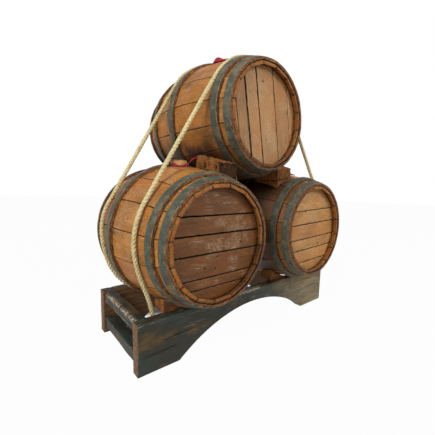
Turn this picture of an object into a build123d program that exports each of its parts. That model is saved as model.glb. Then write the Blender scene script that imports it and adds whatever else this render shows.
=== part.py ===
"""Three small oak casks lashed on an arched stand, each with a bung on top and a spigot behind.

Millimetres.  +X runs along the stand, +Y from the plain cask heads to the heads that carry the
spigots, +Z up.  The origin is on the floor, in the middle of the whole object's footprint.
"""

import os
from math import cos, pi, sin, sqrt

from build123d import *

# Stand: two arched rails on edge, joined at each end by two rungs
stand_length = 480
stand_depth = 172
stand_middle_y = -48
rail_height = 80
rail_thickness = 18
rail_edge_wear = 1.2
arch_middle_x = -5
arch_half_span = 165
arch_rise = 56
rung_width = 20
rungs = {"upper_rung": (60, 78), "lower_rung": (12, 30)}  # underside and top
rung_setback = 3
tenon_length = 9
tenon_shoulder = 3
tenon_play = 0.05

# Casks
cask_length = 284
stave_end_radius = 91.5
bilge_radius = 120
stave_thickness = 7
stave_count = 16
stave_gap = 0.6
chime_bevel_depth, chime_bevel_length = 3, 4
head_recess = 12
head_thickness = 8
head_edge_thickness = 5
head_bevel_length = 9
croze_depth = 3
croze_play = 0.2
board_gap = 0.8
hoop_thickness = 4
hoop_play = 0.15
hoops = {  # distance of each hoop's near edge from the front of the cask, and its width
    "front_chime_hoop": (0.3, 12),
    "front_quarter_hoop": (23.5, 12),
    "bilge_hoop": (129.5, 15),
    "back_quarter_hoop": (210, 14),
    "back_chime_hoop": (271.7, 12),
}

# Where each cask lies: axis x, front plane y, axis z, turn of the staves about the axis,
# turn of the front head's boards, and the heights of the joints between those boards
lower_front_y = -181
upper_front_y = -151
casks = {
    "left": (-126.3, lower_front_y, 192, -3, 0, (42, 14, -15, -51, -67)),
    "right": (126.3, lower_front_y, 192, 0, -2, (40, 12, -18, -41, -67)),
    "upper": (2, upper_front_y, 402.5, -3, 79.5, (68, 30, -14, -43, -68)),
}
back_board_joints = (50, 22, -8, -38, -74)

# Bung, and the cloth square pinched under it
bung_from_front = 112
bung_top_radius, bung_tip_radius = 12, 10.4
bung_stand_out = 10.5
bung_length = 28
bung_edge_break = 0.8
bung_play = 0.06
cloth_hem_radius, cloth_neck_radius = 16.5, 14
cloth_height = 5
cloth_clearance = 0.3

# Spigot: a turned wooden tap with a vertical key.  Distances along it are from the head's face
spigot_drop = 56
spigot_inside = 12
shank_radius, shank_tip_radius = 9, 8
neck_radius, neck_start_y, collar_slope_y = 8, 3, 13
collar_radius, collar_y, collar_end_y = 12.5, 15, 18
belly_end_radius, belly_start_y, belly_end_y = 10, 19, 43
belly_radius, belly_slope, key_y = 13.5, 5, 31
nose_radius, nose_slope, spout_y, nose_end_y = 7.5, 3, 52.5, 60
spout_radius, spout_length = 6, 16
spigot_bore_radius = 3
key_radius, key_play = 6, 0.06
key_tip_z, key_neck_z, key_grip_top_z = -17, 17, 31
key_grip_length, key_grip_thickness = 30, 8
key_grip_corner, key_grip_edge, key_grip_sunk = 4.5, 1.2, 0.5

# Chocks under the lower casks, and the blocks wedged between those and the upper cask
chock_outer, chock_inner = 68, 24
chock_height = 26
chock_on_rail = 8
chock_length = 30
cradle_outer_x, cradle_inner_x = 98, 54
cradle_top_z = 331
front_cradle_y = (-133, -65)
back_cradle_y = (-26, 26)
cradle_slope_length, cradle_slope_drop = 45, 14
seat_clearance = 0.3

# Lashings: a rope over the stack before and behind, each end stapled inside a rail.  The back one
# goes on round under the lower casks and is stapled level, out of sight
rope_radius = 3.9
rope_sides = 8
rope_routes = {
    "front_rope": (
        (-203, -111, 50),
        (-203, -111, 82),
        (-243.5, -125.5, 170.5),
        (-239.5, -125.5, 229),
        (-76, -110.3, 486),
        (-26, -110.3, 513.5),
        (31.5, -110.3, 513),
        (81, -110.3, 485),
        (240, -125.5, 228),
        (243.5, -125.5, 170),
        (203, -111, 82),
        (203, -111, 50),
    ),
    "back_rope": (
        (-105, 15, 62),
        (-150, 15, 62),
        (-172, -12, 73),
        (-237, -12, 118.5),
        (-257, -12, 214),
        (-87.5, 0, 495.5),
        (-30, 0, 527.5),
        (36, 0, 527.5),
        (93, 0, 494),
        (257, -12, 213.5),
        (237, -12, 118.5),
        (172, -12, 73),
        (150, 15, 62),
        (105, 15, 62),
    ),
}
rope_bends = {  # radius at each corner from an end of the rope to the top of the stack
    "front_rope": (60, 110, 110, 107, 107),
    "back_rope": (30, 20, 115, 115, 120, 120),
}
staple_wire = 2
staples_from_end = (5, 15)
staple_bite = 9
staple_play = 0.05
staple_gap = 0.2


def barrel_radius(distance, grown=0):
    """Outer radius of the staves at a distance from the front of the cask."""
    half = cask_length / 2
    bulge = bilge_radius - stave_end_radius
    arc = (half**2 + bulge**2) / (2 * bulge)
    return bilge_radius - arc + sqrt(arc**2 - (distance - half) ** 2) + grown


def arc_between(height_at, start, end):
    """A long curve of the cask, from one distance to another, at the heights of a function."""
    return ThreePointArc(*[(height_at(at), at) for at in (start, (start + end) / 2, end)])


def barrel_envelope(grown):
    """A solid a little larger all round than a cask, to hollow what the cask rests on."""
    ends = (-grown, cask_length + grown)
    outside = arc_between(lambda at: barrel_radius(at, grown), 0, cask_length)
    first, last = outside @ 0, outside @ 1
    cap = Polyline(last, (last.X, ends[1]), (0, ends[1]), (0, ends[0]), (first.X, ends[0]), first)
    return revolve(make_face(outside + cap), Axis.Y)


def stave_height(distance, sunk=0):
    """Height of a stave's flat back over the cask's axis; only its corners touch the hoops."""
    return barrel_radius(distance) * cos(pi / stave_count) - sunk


def stave_profile():
    """Side view of a stave, with its chime bevels and the two crozes for the heads."""
    bevel, length = chime_bevel_length, cask_length
    groove_start = head_recess - croze_play
    groove_end = head_recess + head_edge_thickness + croze_play

    def inside(distance):
        return (stave_height(distance, stave_thickness), distance)

    def in_groove(distance):
        return (stave_height(distance, stave_thickness - croze_depth), distance)

    outside = arc_between(stave_height, bevel, length - bevel)
    hollow = arc_between(lambda at: inside(at)[0], length - groove_end, groove_end)
    back_end = Polyline(
        outside @ 1,
        (stave_height(length, chime_bevel_depth), length),
        inside(length),
        inside(length - groove_start),
        in_groove(length - groove_start),
        in_groove(length - groove_end),
        hollow @ 0,
    )
    front_end = Polyline(
        hollow @ 1,
        in_groove(groove_end),
        in_groove(groove_start),
        inside(groove_start),
        inside(0),
        (stave_height(0, chime_bevel_depth), 0),
        outside @ 0,
    )
    return make_face(outside + back_end + hollow + front_end)


def stave_wedge():
    """The space of one stave between two radial joints, widening away from the cask's axis."""
    half_angle = pi / stave_count
    apex = stave_gap / 2 / sin(half_angle)
    reach = 2 * bilge_radius
    half_width = (reach - apex) * sin(half_angle) / cos(half_angle)
    outline = Polyline((0, apex), (half_width, reach), (-half_width, reach), close=True)
    return Pos(0, cask_length / 2, 0) * extrude(
        make_face(Plane.XZ * outline), cask_length, both=True
    )


def make_staves():
    """The ordinary staves, and the bung stave with its tapered hole, which lies on top."""
    board = extrude(stave_profile(), bilge_radius / 2, both=True)
    top_stave = Rot(0, -90, 0) * board & stave_wedge()
    step = 360 / stave_count
    plain_staves = [Rot(0, step * index, 0) * top_stave for index in range(1, stave_count)]
    return plain_staves, top_stave - bung_cone(bung_play)


def bung_cone(play=0):
    """The bung's taper, standing on the cask's top line."""
    top = stave_height(bung_from_front) + bung_stand_out
    cone = Cone(bung_tip_radius + play, bung_top_radius + play, bung_length)
    return Pos(0, bung_from_front, top - bung_length / 2) * cone


def make_bung():
    """Tapered oak bung with a broken top edge."""
    bung = bung_cone()
    return chamfer(bung.edges().sort_by(Axis.Z)[-1], bung_edge_break)


def make_bung_cloth():
    """The gathered skirt of the cloth, round the bung and just off the staves."""
    bottom = stave_height(cask_length / 2) + cloth_clearance
    skirt = Cone(cloth_hem_radius, cloth_neck_radius, cloth_height)
    skirt = Pos(0, bung_from_front, bottom + cloth_height / 2) * skirt
    return skirt - bung_cone(bung_play)


def make_hoop(distance, width):
    """One flat iron hoop, coned to the staves under it."""
    near, far = distance, distance + width
    near_radius = barrel_radius(near, hoop_play)
    far_radius = barrel_radius(far, hoop_play)
    section = Polyline(
        (near_radius, near),
        (near_radius + hoop_thickness, near),
        (far_radius + hoop_thickness, far),
        (far_radius, far),
        close=True,
    )
    return revolve(make_face(section), Axis.Y)


def make_head(joints, tap_hole=False):
    """Head boards with a bevelled rim for the croze, outer face towards the front of the cask."""
    rim = stave_height(head_recess, stave_thickness - croze_depth) - croze_play
    bevel_start = rim - croze_depth - croze_play
    outer, inner = head_recess, head_recess + head_thickness
    tongue = head_recess + head_edge_thickness
    section = Polyline(
        (0, outer),
        (rim, outer),
        (rim, tongue),
        (bevel_start, tongue),
        (bevel_start - head_bevel_length, inner),
        (0, inner),
        close=True,
    )
    disc = revolve(make_face(section), Axis.Y)
    if tap_hole:
        disc -= Pos(0, head_recess, 0) * mirror(make_shank(), about=Plane.XZ)
    edges = (bilge_radius,) + joints + (-bilge_radius,)
    boards = []
    for top, bottom in zip(edges, edges[1:]):
        height = top - bottom - board_gap
        slab = Box(2 * bilge_radius, 4 * head_thickness, height)
        boards += (Pos(0, outer, (top + bottom) / 2) * slab & disc).solids()
    return boards


def make_shank():
    """The tapered plug of the spigot that is driven into the head, which lies in the plane y 0."""
    length = head_thickness + spigot_inside
    shank = Rot(-90, 0, 0) * Cone(shank_tip_radius, shank_radius, length)
    return Pos(0, -length / 2, -spigot_drop) * shank


def make_spigot_body():
    """Turned body: neck, collar, a belly for the key and a nose, with a spout turned down."""
    profile = Polyline(
        (0, 0),
        (shank_radius, 0),
        (neck_radius, neck_start_y),
        (neck_radius, collar_slope_y),
        (collar_radius, collar_y),
        (collar_radius, collar_end_y),
        (belly_end_radius, belly_start_y),
        (belly_radius, belly_start_y + belly_slope),
        (belly_radius, belly_end_y - belly_slope),
        (belly_end_radius, belly_end_y),
        (nose_radius, belly_end_y),
        (nose_radius, nose_end_y - nose_slope),
        (nose_radius - nose_slope, nose_end_y),
        (0, nose_end_y),
        close=True,
    )
    turned = Pos(0, 0, -spigot_drop) * revolve(make_face(profile), Axis.Y)

    spout_place = Pos(0, spout_y, -spigot_drop - spout_length / 2)
    body = turned + make_shank() + spout_place * Cylinder(spout_radius, spout_length)
    bore_start = -head_thickness - spigot_inside
    bore = Rot(90, 0, 0) * Cylinder(spigot_bore_radius, spout_y - bore_start)
    body -= Pos(0, (bore_start + spout_y) / 2, -spigot_drop) * bore
    body -= spout_place * Cylinder(spigot_bore_radius, spout_length)
    key_hole = Cylinder(key_radius + key_play, 4 * belly_radius)
    return body - Pos(0, key_y, -spigot_drop) * key_hole


def make_spigot_key():
    """Key shut: its grip and its cross bore lie across the flow."""
    stem = Pos(0, 0, (key_tip_z + key_neck_z) / 2) * Cylinder(key_radius, key_neck_z - key_tip_z)
    cross_bore = Rot(0, 90, 0) * Cylinder(spigot_bore_radius, 4 * key_radius)
    grip_height = key_grip_top_z - key_neck_z
    outline = Plane.XZ * RectangleRounded(key_grip_length, grip_height, key_grip_corner)
    grip = extrude(outline, key_grip_thickness / 2, both=True)
    grip = chamfer(grip.edges().filter_by(Axis.Y, reverse=True), key_grip_edge)
    grip = Pos(0, 0, key_neck_z + grip_height / 2 - key_grip_sunk) * grip
    return Pos(0, key_y, -spigot_drop) * (stem - cross_bore + grip)


def on_cask(shape, name, turned=0, at_back=False):
    """Move a shape from the cask's own frame to where the cask lies."""
    x, front_y, z = casks[name][:3]
    along = cask_length - head_recess if at_back else 0
    return Pos(x, front_y + along, z) * Rot(0, turned, 0) * shape


def from_behind(shapes):
    """Turn head boards end for end, so that their outer face is at the back of the cask."""
    return [Pos(0, cask_length, 0) * mirror(shape, about=Plane.XZ) for shape in shapes]


def rung_box(rung, side, shoulder=0, play=0):
    """A rung, or with a shoulder its tenons; side is -1 at the left end and 1 at the right."""
    bottom, top = rungs[rung]
    width = rung_width - 2 * shoulder + 2 * play
    height = top - bottom - 2 * shoulder + 2 * play
    reach = stand_depth - 2 * rail_thickness
    if shoulder:
        reach += 2 * tenon_length
    x = side * (stand_length / 2 - rung_setback - rung_width / 2)
    return Pos(x, stand_middle_y, (bottom + top) / 2) * Box(width, reach, height)


def make_rung(rung, side):
    """Rung with its edges broken and a blind tenon at each end."""
    bar = rung_box(rung, side)
    bar = chamfer(bar.edges().filter_by(Axis.Y), rail_edge_wear)
    return bar + rung_box(rung, side, tenon_shoulder)


def make_rail(middle_y):
    """A rail on edge, its lower side cut to one long arch that leaves a foot at each end."""
    drop = (arch_half_span**2 - arch_rise**2) / (2 * arch_rise)
    board = Pos(0, middle_y, rail_height / 2) * Box(stand_length, rail_thickness, rail_height)
    arch = Rot(90, 0, 0) * Cylinder(drop + arch_rise, 2 * rail_thickness)
    rail = board - Pos(arch_middle_x, middle_y, -drop) * arch
    worn = rail.edges().filter_by(Axis.X).group_by(Axis.Z)[-1] + rail.edges().filter_by(Axis.Z)
    rail = chamfer(worn, rail_edge_wear)
    for rung in rungs:
        for side in (-1, 1):
            rail -= rung_box(rung, side, tenon_shoulder, tenon_play)
    return rail


def cask_seat(name, grown):
    """The envelope of a cask where it lies, for hollowing a block or a rail."""
    return on_cask(barrel_envelope(grown), name)


def make_chocks(rail_inner_y, inward):
    """Four wedge blocks on a rail, two to each lower cask, hollowed to its bilge."""
    start = rail_inner_y - inward * chock_on_rail
    end = start + inward * chock_length
    chocks = []
    for name in ("left", "right"):
        for side in (-1, 1):
            middle = casks[name][0] + side * (chock_outer + chock_inner) / 2
            block = Box(chock_outer - chock_inner, chock_length, chock_height)
            block = Pos(middle, (start + end) / 2, rail_height + chock_height / 2) * block
            chocks += (block - cask_seat(name, seat_clearance)).solids()
    return chocks


def make_cradle_blocks(y_range, sloped):
    """The left and right blocks wedged between the upper cask and the two that carry it."""
    near, far = y_range
    low = casks["left"][2]
    drop = cradle_slope_drop if sloped else 0
    profile = Polyline(
        (near, low),
        (near, cradle_top_z - drop),
        (near + cradle_slope_length, cradle_top_z),
        (far, cradle_top_z),
        (far, low),
        close=True,
    )
    blocks = []
    for name, start in (("left", -cradle_outer_x), ("right", cradle_inner_x)):
        place = Plane.YZ.offset(start)
        block = extrude(place * make_face(profile), cradle_outer_x - cradle_inner_x)
        block -= cask_seat(name, seat_clearance)
        block -= cask_seat("upper", hoop_thickness + hoop_play + seat_clearance)
        blocks.append(block.solids().sort_by(SortBy.VOLUME)[-1])
    return blocks


def rope_path(name):
    """Centre line of a lashing: straight runs joined by arcs, some as large as the casks."""
    bends = rope_bends[name]
    radii = bends + bends[::-1]
    path = FilletPolyline(*rope_routes[name], radius=radii)
    print(name, "length", round(path.length, 1), "radii", radii)
    return path


def make_rope(name):
    """One lashing, from the end under its staples on the left to the same on the right."""
    path = rope_path(name)
    section = RegularPolygon(rope_radius, rope_sides)
    rope = sweep(path.location_at(0) * section, path=path)
    print(name, "volume over section times length", rope.volume / (section.area * path.length))
    return rope


def staple_places():
    """Each staple's middle, the way its rope runs there, the rail's face and its outward side."""
    inner_faces = {"front_rope": -1, "back_rope": 1}
    for name, side in inner_faces.items():
        face_y = stand_middle_y + side * (stand_depth / 2 - rail_thickness)
        for end, inward in ((0, 1), (-1, -2)):
            start = Vector(*rope_routes[name][end])
            along = (Vector(*rope_routes[name][inward]) - start).normalized()
            for distance in staples_from_end:
                yield start + along * distance, along, face_y, side


def make_staple(middle, along, face_y, side, play=0):
    """A square wire staple over an upright or level rope, its legs in the rail; with play, their holes."""
    inner = rope_radius + staple_gap - play
    outer = rope_radius + staple_gap + staple_wire + play
    tip_y = face_y + side * staple_bite
    inner_y, outer_y = middle.Y - side * inner, middle.Y - side * outer
    outline = Polyline(
        (-outer, tip_y),
        (-outer, outer_y),
        (outer, outer_y),
        (outer, tip_y),
        (inner, tip_y),
        (inner, inner_y),
        (-inner, inner_y),
        (-inner, tip_y),
        close=True,
    )
    wire = extrude(make_face(outline), staple_wire / 2 + play, both=True)
    turn = 0 if along.Z else 90
    return Pos(middle.X, 0, middle.Z) * Rot(0, turn, 0) * wire


def main():
    """Write one STEP file for each node."""
    nodes = {}
    rail_offset = (stand_depth - rail_thickness) / 2
    front_rail_y = stand_middle_y - rail_offset
    back_rail_y = stand_middle_y + rail_offset
    front_rail = make_rail(front_rail_y)
    back_rail = make_rail(back_rail_y)
    for name in ("left", "right"):
        back_rail -= cask_seat(name, hoop_thickness + hoop_play + seat_clearance)
    for place in staple_places():
        if place[-1] < 0:
            front_rail -= make_staple(*place, play=staple_play)
        else:
            back_rail -= make_staple(*place, play=staple_play)
    nodes["front_rail"] = [front_rail]
    nodes["back_rail"] = [back_rail]
    for rung in rungs:
        nodes["left_" + rung] = [make_rung(rung, -1)]
        nodes["right_" + rung] = [make_rung(rung, 1)]
    nodes["front_chocks"] = make_chocks(front_rail_y + rail_thickness / 2, 1)
    nodes["back_chocks"] = make_chocks(back_rail_y - rail_thickness / 2, -1)
    nodes["front_cradle_blocks"] = make_cradle_blocks(front_cradle_y, sloped=True)
    nodes["back_cradle_blocks"] = make_cradle_blocks(back_cradle_y, sloped=False)

    plain_staves, bung_stave = make_staves()
    for name, (_, _, _, stave_turn, board_turn, joints) in casks.items():
        nodes[name + "_staves"] = [on_cask(stave, name, stave_turn) for stave in plain_staves]
        nodes[name + "_bung_stave"] = [on_cask(bung_stave, name, stave_turn)]
        front_head = make_head(joints)
        nodes[name + "_front_head"] = [on_cask(board, name, board_turn) for board in front_head]
        back_head = from_behind(make_head(back_board_joints, tap_hole=True))
        nodes[name + "_back_head"] = [on_cask(board, name) for board in back_head]
        for hoop, (distance, width) in hoops.items():
            nodes[name + "_" + hoop] = [on_cask(make_hoop(distance, width), name)]
        nodes[name + "_bung"] = [on_cask(make_bung(), name, stave_turn)]
        nodes[name + "_bung_cloth"] = [on_cask(make_bung_cloth(), name, stave_turn)]
        nodes[name + "_spigot_body"] = [on_cask(make_spigot_body(), name, at_back=True)]
        nodes[name + "_spigot_key"] = [on_cask(make_spigot_key(), name, at_back=True)]

    for name in rope_routes:
        nodes[name] = [make_rope(name)]
    nodes["rope_staples"] = [make_staple(*place) for place in staple_places()]

    os.makedirs("parts", exist_ok=True)
    for name, solids in nodes.items():
        export_step(Compound(label=name, children=solids), "parts/" + name + ".step")
    print(len(nodes), "nodes")


main()
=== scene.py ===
"""Finish for a rack of three small oak casks: worn wood, patinated hoops, rope and bung cloths.

Metres.  The packed model is the frame: each piece built here stands where its CAD node stands.
"""

import math
import random
from collections import namedtuple

import bmesh
import bpy
from bpy.props import FloatProperty, FloatVectorProperty, IntProperty, PointerProperty
from mathutils import Matrix, Vector, noise
from mathutils.kdtree import KDTree


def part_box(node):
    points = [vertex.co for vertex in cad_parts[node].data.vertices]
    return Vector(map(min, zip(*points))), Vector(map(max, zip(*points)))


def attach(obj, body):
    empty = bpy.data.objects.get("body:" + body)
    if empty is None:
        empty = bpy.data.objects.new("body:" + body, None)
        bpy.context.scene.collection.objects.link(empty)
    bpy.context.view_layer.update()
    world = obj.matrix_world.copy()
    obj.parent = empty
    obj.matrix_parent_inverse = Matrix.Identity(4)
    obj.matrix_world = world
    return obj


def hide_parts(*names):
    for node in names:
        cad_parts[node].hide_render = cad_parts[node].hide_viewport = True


bl_info = {
    "name": "Oak cask rack",
    "version": (1, 0, 0),
    "blender": (4, 5, 0),
    "location": "3D View > Sidebar > Cask rack",
    "description": "Builds the worn oak, iron, rope and cloth of a rack of three small casks",
    "category": "Object",
}

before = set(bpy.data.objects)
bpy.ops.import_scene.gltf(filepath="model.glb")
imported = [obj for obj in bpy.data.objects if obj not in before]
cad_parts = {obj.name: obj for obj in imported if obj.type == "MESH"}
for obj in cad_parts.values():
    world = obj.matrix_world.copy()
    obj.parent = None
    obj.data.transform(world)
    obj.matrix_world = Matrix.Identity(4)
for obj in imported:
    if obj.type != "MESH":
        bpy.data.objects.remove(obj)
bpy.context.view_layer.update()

MM = 0.001

# Casks, in the cask's own frame: its axis is +Y and its front end lies in the plane y 0
STAVE_COUNT = 16
CASK_LENGTH = 284 * MM
BILGE_RADIUS = 120 * MM
END_RADIUS = 91.5 * MM
STAVE_THICKNESS = 7 * MM
STAVE_GAP = math.radians(0.3)
CHIME_DEPTH, CHIME_LENGTH = 3.8 * MM, 4 * MM
HEAD_RECESS = 12 * MM
HEAD_TONGUE = 5 * MM
CROZE_DEPTH = 3 * MM
CROZE_PLAY = 0.2 * MM
SEAT_PLAY = 0.3 * MM
HOOP_THICKNESS = 4 * MM
HOOP_PLAY = 0.15 * MM
HOOPS = ("front_chime_hoop", "front_quarter_hoop", "bilge_hoop", "back_quarter_hoop", "back_chime_hoop")
BUNG_FROM_FRONT = 112 * MM
BUNG_TOP_RADIUS, BUNG_TIP_RADIUS = 12 * MM, 10.4 * MM
BUNG_STAND_OUT = 10.5 * MM
BUNG_LENGTH = 28 * MM
BUNG_PLAY = 0.06 * MM

# Turn of the staves and of the front head's boards, in degrees, the joints between the boards with
# the width of each, and on the boards, from the head's middle, the marks and the scuffed places; and
# the sides of each cask that face a neighbour, where shade is painted: the way they face (x, z), and
# the facing at which the painted shade begins and at which it is full
CASKS = {
    "left": {
        "stave_turn": -3,
        "scuffed": 0.75,
        "shaded_sides": (((0.75, -0.66), 0.55, 0.95),),
        "board_turn": 0,
        "streaky": 1.1,
        "joints": (42, 14, -15, -51, -67),
        "joint_widths": (1.9, 2.1, 2.1, 1.5, 1.3),
        "marks": ((-0.7, -21.4, 1.9), (-3.7, -40, 1.6), (-23.2, -36.5, 1.7), (49, -4, 2.2), (-2, -30, 1.0)),
        "scuffs": ((38, 24, 26), (36, 2, 28), (2, 30, 14), (-4, -4, 20), (30, -30, 12)),
    },
    "right": {
        "stave_turn": 0,
        "scuffed": 0.35,
        "shaded_sides": (((-1, 0.1), 0.05, 0.6), ((-0.5, 0.87), 0.7, 0.95)),
        "board_turn": -2,
        "streaky": 0.8,
        "joints": (40, 12, -18, -41, -67),
        "joint_widths": (1.1, 1.3, 1.1, 1.0, 0.9),
        "marks": ((39.7, 41, 2.4), (27.7, -34, 2.4), (-44.3, -42, 1.6), (-21.3, 38, 2.0), (31, -28, 1.4)),
        "scuffs": ((-20, 42, 20), (10, 22, 22), (30, 4, 18), (-30, 8, 16), (0, -50, 16)),
    },
    "upper": {
        "stave_turn": -3,
        "scuffed": 0.4,
        "shaded_sides": (((-0.25, -0.97), 0.4, 0.85),),
        "board_turn": 79.5,
        "streaky": 0.6,
        "joints": (68, 30, -14, -43, -68),
        "joint_widths": (1.0, 1.5, 2.2, 3.0, 1.2),
        "marks": ((1.5, 49.6, 1.2), (-60, 2, 2.0), (66, -52, 1.8)),
        "scuffs": ((40, -30, 18), (-46, 8, 22), (30, 10, 18), (-20, 56, 20), (52, 18, 14)),
    },
}
BACK_FACE = {
    "joints": (50, 22, -8, -38, -74),
    "joint_widths": (0.9, 1.2, 0.8, 1.4, 0.8),
    "marks": ((30, 40, 1.8), (-44, 8, 2.2)),
    "scuffs": ((-20, 30, 26), (34, -20, 24)),
}

# Lashings: control points of each rope's line, from its left end to its right one
ROPE_ROUTES = {
    "front_rope": (
        (-0.203, -0.111, 0.050),
        (-0.203, -0.111, 0.082),
        (-0.2418, -0.1255, 0.1708),
        (-0.2378, -0.1255, 0.2288),
        (-0.2130, -0.1230, 0.2690),
        (-0.1080, -0.1130, 0.4340),
        (-0.0745, -0.1100, 0.4838),
        (-0.0255, -0.1100, 0.5098),
        (0.0310, -0.1100, 0.5093),
        (0.0800, -0.1106, 0.4835),
        (0.1130, -0.1130, 0.4320),
        (0.2130, -0.1230, 0.2690),
        (0.2380, -0.1255, 0.2280),
        (0.2418, -0.1255, 0.1703),
        (0.203, -0.111, 0.082),
        (0.203, -0.111, 0.050),
    ),
    "back_rope": (
        (-0.105, 0.015, 0.062),
        (-0.150, 0.015, 0.062),
        (-0.172, -0.012, 0.073),
        (-0.236, -0.012, 0.1192),
        (-0.2550, -0.012, 0.2136),
        (-0.2190, -0.0097, 0.2740),
        (-0.1180, -0.0018, 0.4420),
        (-0.0865, -0.0005, 0.4940),
        (-0.0295, -0.0005, 0.5256),
        (0.0355, -0.0005, 0.5256),
        (0.0920, -0.0005, 0.4925),
        (0.1230, -0.0018, 0.4400),
        (0.2190, -0.0097, 0.2735),
        (0.2550, -0.012, 0.2131),
        (0.236, -0.012, 0.1192),
        (0.172, -0.012, 0.073),
        (0.150, 0.015, 0.062),
        (0.105, 0.015, 0.062),
    ),
}
ROPE_RADIUS = 3.9 * MM
STRAND_RADIUS, STRAND_ORBIT = 1.98 * MM, 1.62 * MM
ROPE_LENGTHS = {"front_rope": 1.145, "back_rope": 1.339}


def srgb(red, green, blue):
    """A colour picked as 0 to 255 per channel, as the linear one that a shader takes."""
    return tuple((value / 255) ** 2.2 for value in (red, green, blue)) + (1.0,)


def tint(name, description, red, green, blue):
    """A colour property with its default."""
    return FloatVectorProperty(
        name=name,
        description=description,
        subtype="COLOR",
        size=4,
        min=0.0,
        max=1.0,
        default=srgb(red, green, blue),
    )


def size(name, description, default, low=0.0, high=0.05):
    """A length property with its default, in metres."""
    return FloatProperty(
        name=name, description=description, default=default, min=low, max=high, unit="LENGTH", precision=5
    )


def share(name, description, default):
    """A property from 0 to 1."""
    return FloatProperty(
        name=name, description=description, default=default, min=0.0, max=1.0, subtype="FACTOR"
    )


class StaveSettings(bpy.types.PropertyGroup):
    """Shape and colour of the casks' staves."""

    roundness: share("Roundness", "0 for flat staves, 1 for staves worn to a full circle", 0.25)
    joint_wear: size("Joint wear", "Width of the worn edge along each joint", 0.9 * MM)
    chips: size("Chips", "Depth of the chips along the joints", 0.8 * MM)
    steps_across: IntProperty(
        name="Steps across", description="Faces across a stave", default=12, min=4, max=24
    )
    row_length: size("Row length", "Length of one row of faces along a stave", 3.6 * MM)
    honey: tint("Honey", "Colour of clean oak", 188, 124, 52)
    dark: tint("Dark grain", "Colour of the dark grain", 88, 50, 25)
    scuff: tint("Scuffs", "Colour of the whitish scuffs", 216, 190, 152)
    # Dark colour of the joints, also used for the painted shade beside the hoops and in the recesses.
    grime: tint("Grime", "Colour of the joints and the dirt beside the hoops", 26, 16, 10)


class HoopSettings(bpy.types.PropertyGroup):
    """Shape and colour of the iron hoops."""

    edge_round: size("Edge rounding", "Rounding of a hoop's outer edges", 0.6 * MM)
    dents: size("Dents", "Depth of the dents in a hoop's face", 0.5 * MM)
    wander: size("Edge wander", "How far a hoop's edges stray from a true line", 0.5 * MM)
    patina: tint("Patina", "Grey-green colour of the iron", 102, 102, 80)
    blue_patina: tint("Blue patina", "Blue-green patches in the patina", 54, 72, 66)
    rust: tint("Rust", "Colour of the bare edges", 98, 64, 38)


class HeadSettings(bpy.types.PropertyGroup):
    """Shape and colour of the head boards."""

    joint_wear: size("Joint wear", "Width of the worn edge along each joint", 0.7 * MM)
    warp: size("Warp", "How far a board's face leaves a true plane", 0.5 * MM)
    left_shade: tint("Left head", "Colour of the left cask's front head", 124, 80, 42)
    right_shade: tint("Right head", "Colour of the right cask's front head", 206, 152, 92)
    upper_shade: tint("Upper head", "Colour of the upper cask's front head", 198, 152, 104)
    back_shade: tint("Back heads", "Colour of the heads that carry the spigots", 158, 108, 62)


class StandSettings(bpy.types.PropertyGroup):
    """Shape and colour of the stand and its blocks."""

    edge_round: size("Edge rounding", "Rounding of the rails' worn edges", 1.4 * MM)
    crack_depth: size("Crack depth", "Depth of the drying cracks in the rails", 4.5 * MM)
    left_shade: tint("Left shade", "Colour of the rails' dark left end", 47, 46, 35)
    right_shade: tint("Right shade", "Colour of the rails' ochre right end", 146, 130, 98)
    # Also the colour of the painted highlight along the top edges.
    worn_shade: tint("Worn edges", "Colour of the pale worn edges", 214, 200, 176)
    raw_shade: tint("Raw wood", "Colour of bare split wood", 196, 130, 70)


class RopeSettings(bpy.types.PropertyGroup):
    """Lay and colour of the rope."""

    lay_length: size("Lay length", "Length of rope in which a strand goes once round", 19 * MM, high=0.2)
    ring_spacing: size("Ring spacing", "Length of one ring of faces along a strand", 1.6 * MM)
    stray_fibres: IntProperty(name="Stray fibres", description="Loose fibres on a rope", default=260, min=0)
    pale: tint("Pale", "Colour of the rope", 222, 204, 148)
    shaded: tint("Shaded", "Colour between the strands", 148, 130, 74)


class ClothSettings(bpy.types.PropertyGroup):
    """Colour and thickness of the bung cloths."""

    thickness: size("Thickness", "Thickness of the cloth", 0.45 * MM)
    crimson: tint("Crimson", "Colour of the cloth", 178, 36, 58)


class StageSettings(bpy.types.PropertyGroup):
    """Camera, lamps and floor."""

    camera_place: FloatVectorProperty(
        name="Camera place",
        description="Where the camera stands",
        subtype="TRANSLATION",
        unit="LENGTH",
        default=(-0.38303, -0.48017, 0.27750),
    )
    yaw: FloatProperty(
        name="Yaw", description="Turn about the vertical", subtype="ANGLE", default=math.radians(-39.3057)
    )
    pitch: FloatProperty(
        name="Pitch", description="Tilt above the horizon", subtype="ANGLE", default=math.radians(-6.6626)
    )
    roll: FloatProperty(
        name="Roll", description="Lean of the frame", subtype="ANGLE", default=math.radians(1.2897)
    )
    focal_length: FloatProperty(
        name="Lens", description="Focal length in millimetres", default=22.47, min=10
    )
    floor_shade: tint("Floor", "Colour of the floor", 196, 194, 190)


SETTINGS = {
    "cask_staves": StaveSettings,
    "cask_hoops": HoopSettings,
    "cask_heads": HeadSettings,
    "cask_stand": StandSettings,
    "cask_rope": RopeSettings,
    "cask_cloth": ClothSettings,
    "cask_stage": StageSettings,
}


# Places and sizes of the casks


def barrel_radius(distance):
    """Outer radius of the staves' corners at a distance from the front of the cask."""
    half = CASK_LENGTH / 2
    bulge = BILGE_RADIUS - END_RADIUS
    arc = (half**2 + bulge**2) / (2 * bulge)
    return BILGE_RADIUS - arc + math.sqrt(arc**2 - (distance - half) ** 2)


def stave_height(distance, sunk=0.0):
    """Height of a flat stave's back over the cask's axis."""
    return barrel_radius(distance) * math.cos(math.pi / STAVE_COUNT) - sunk


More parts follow.
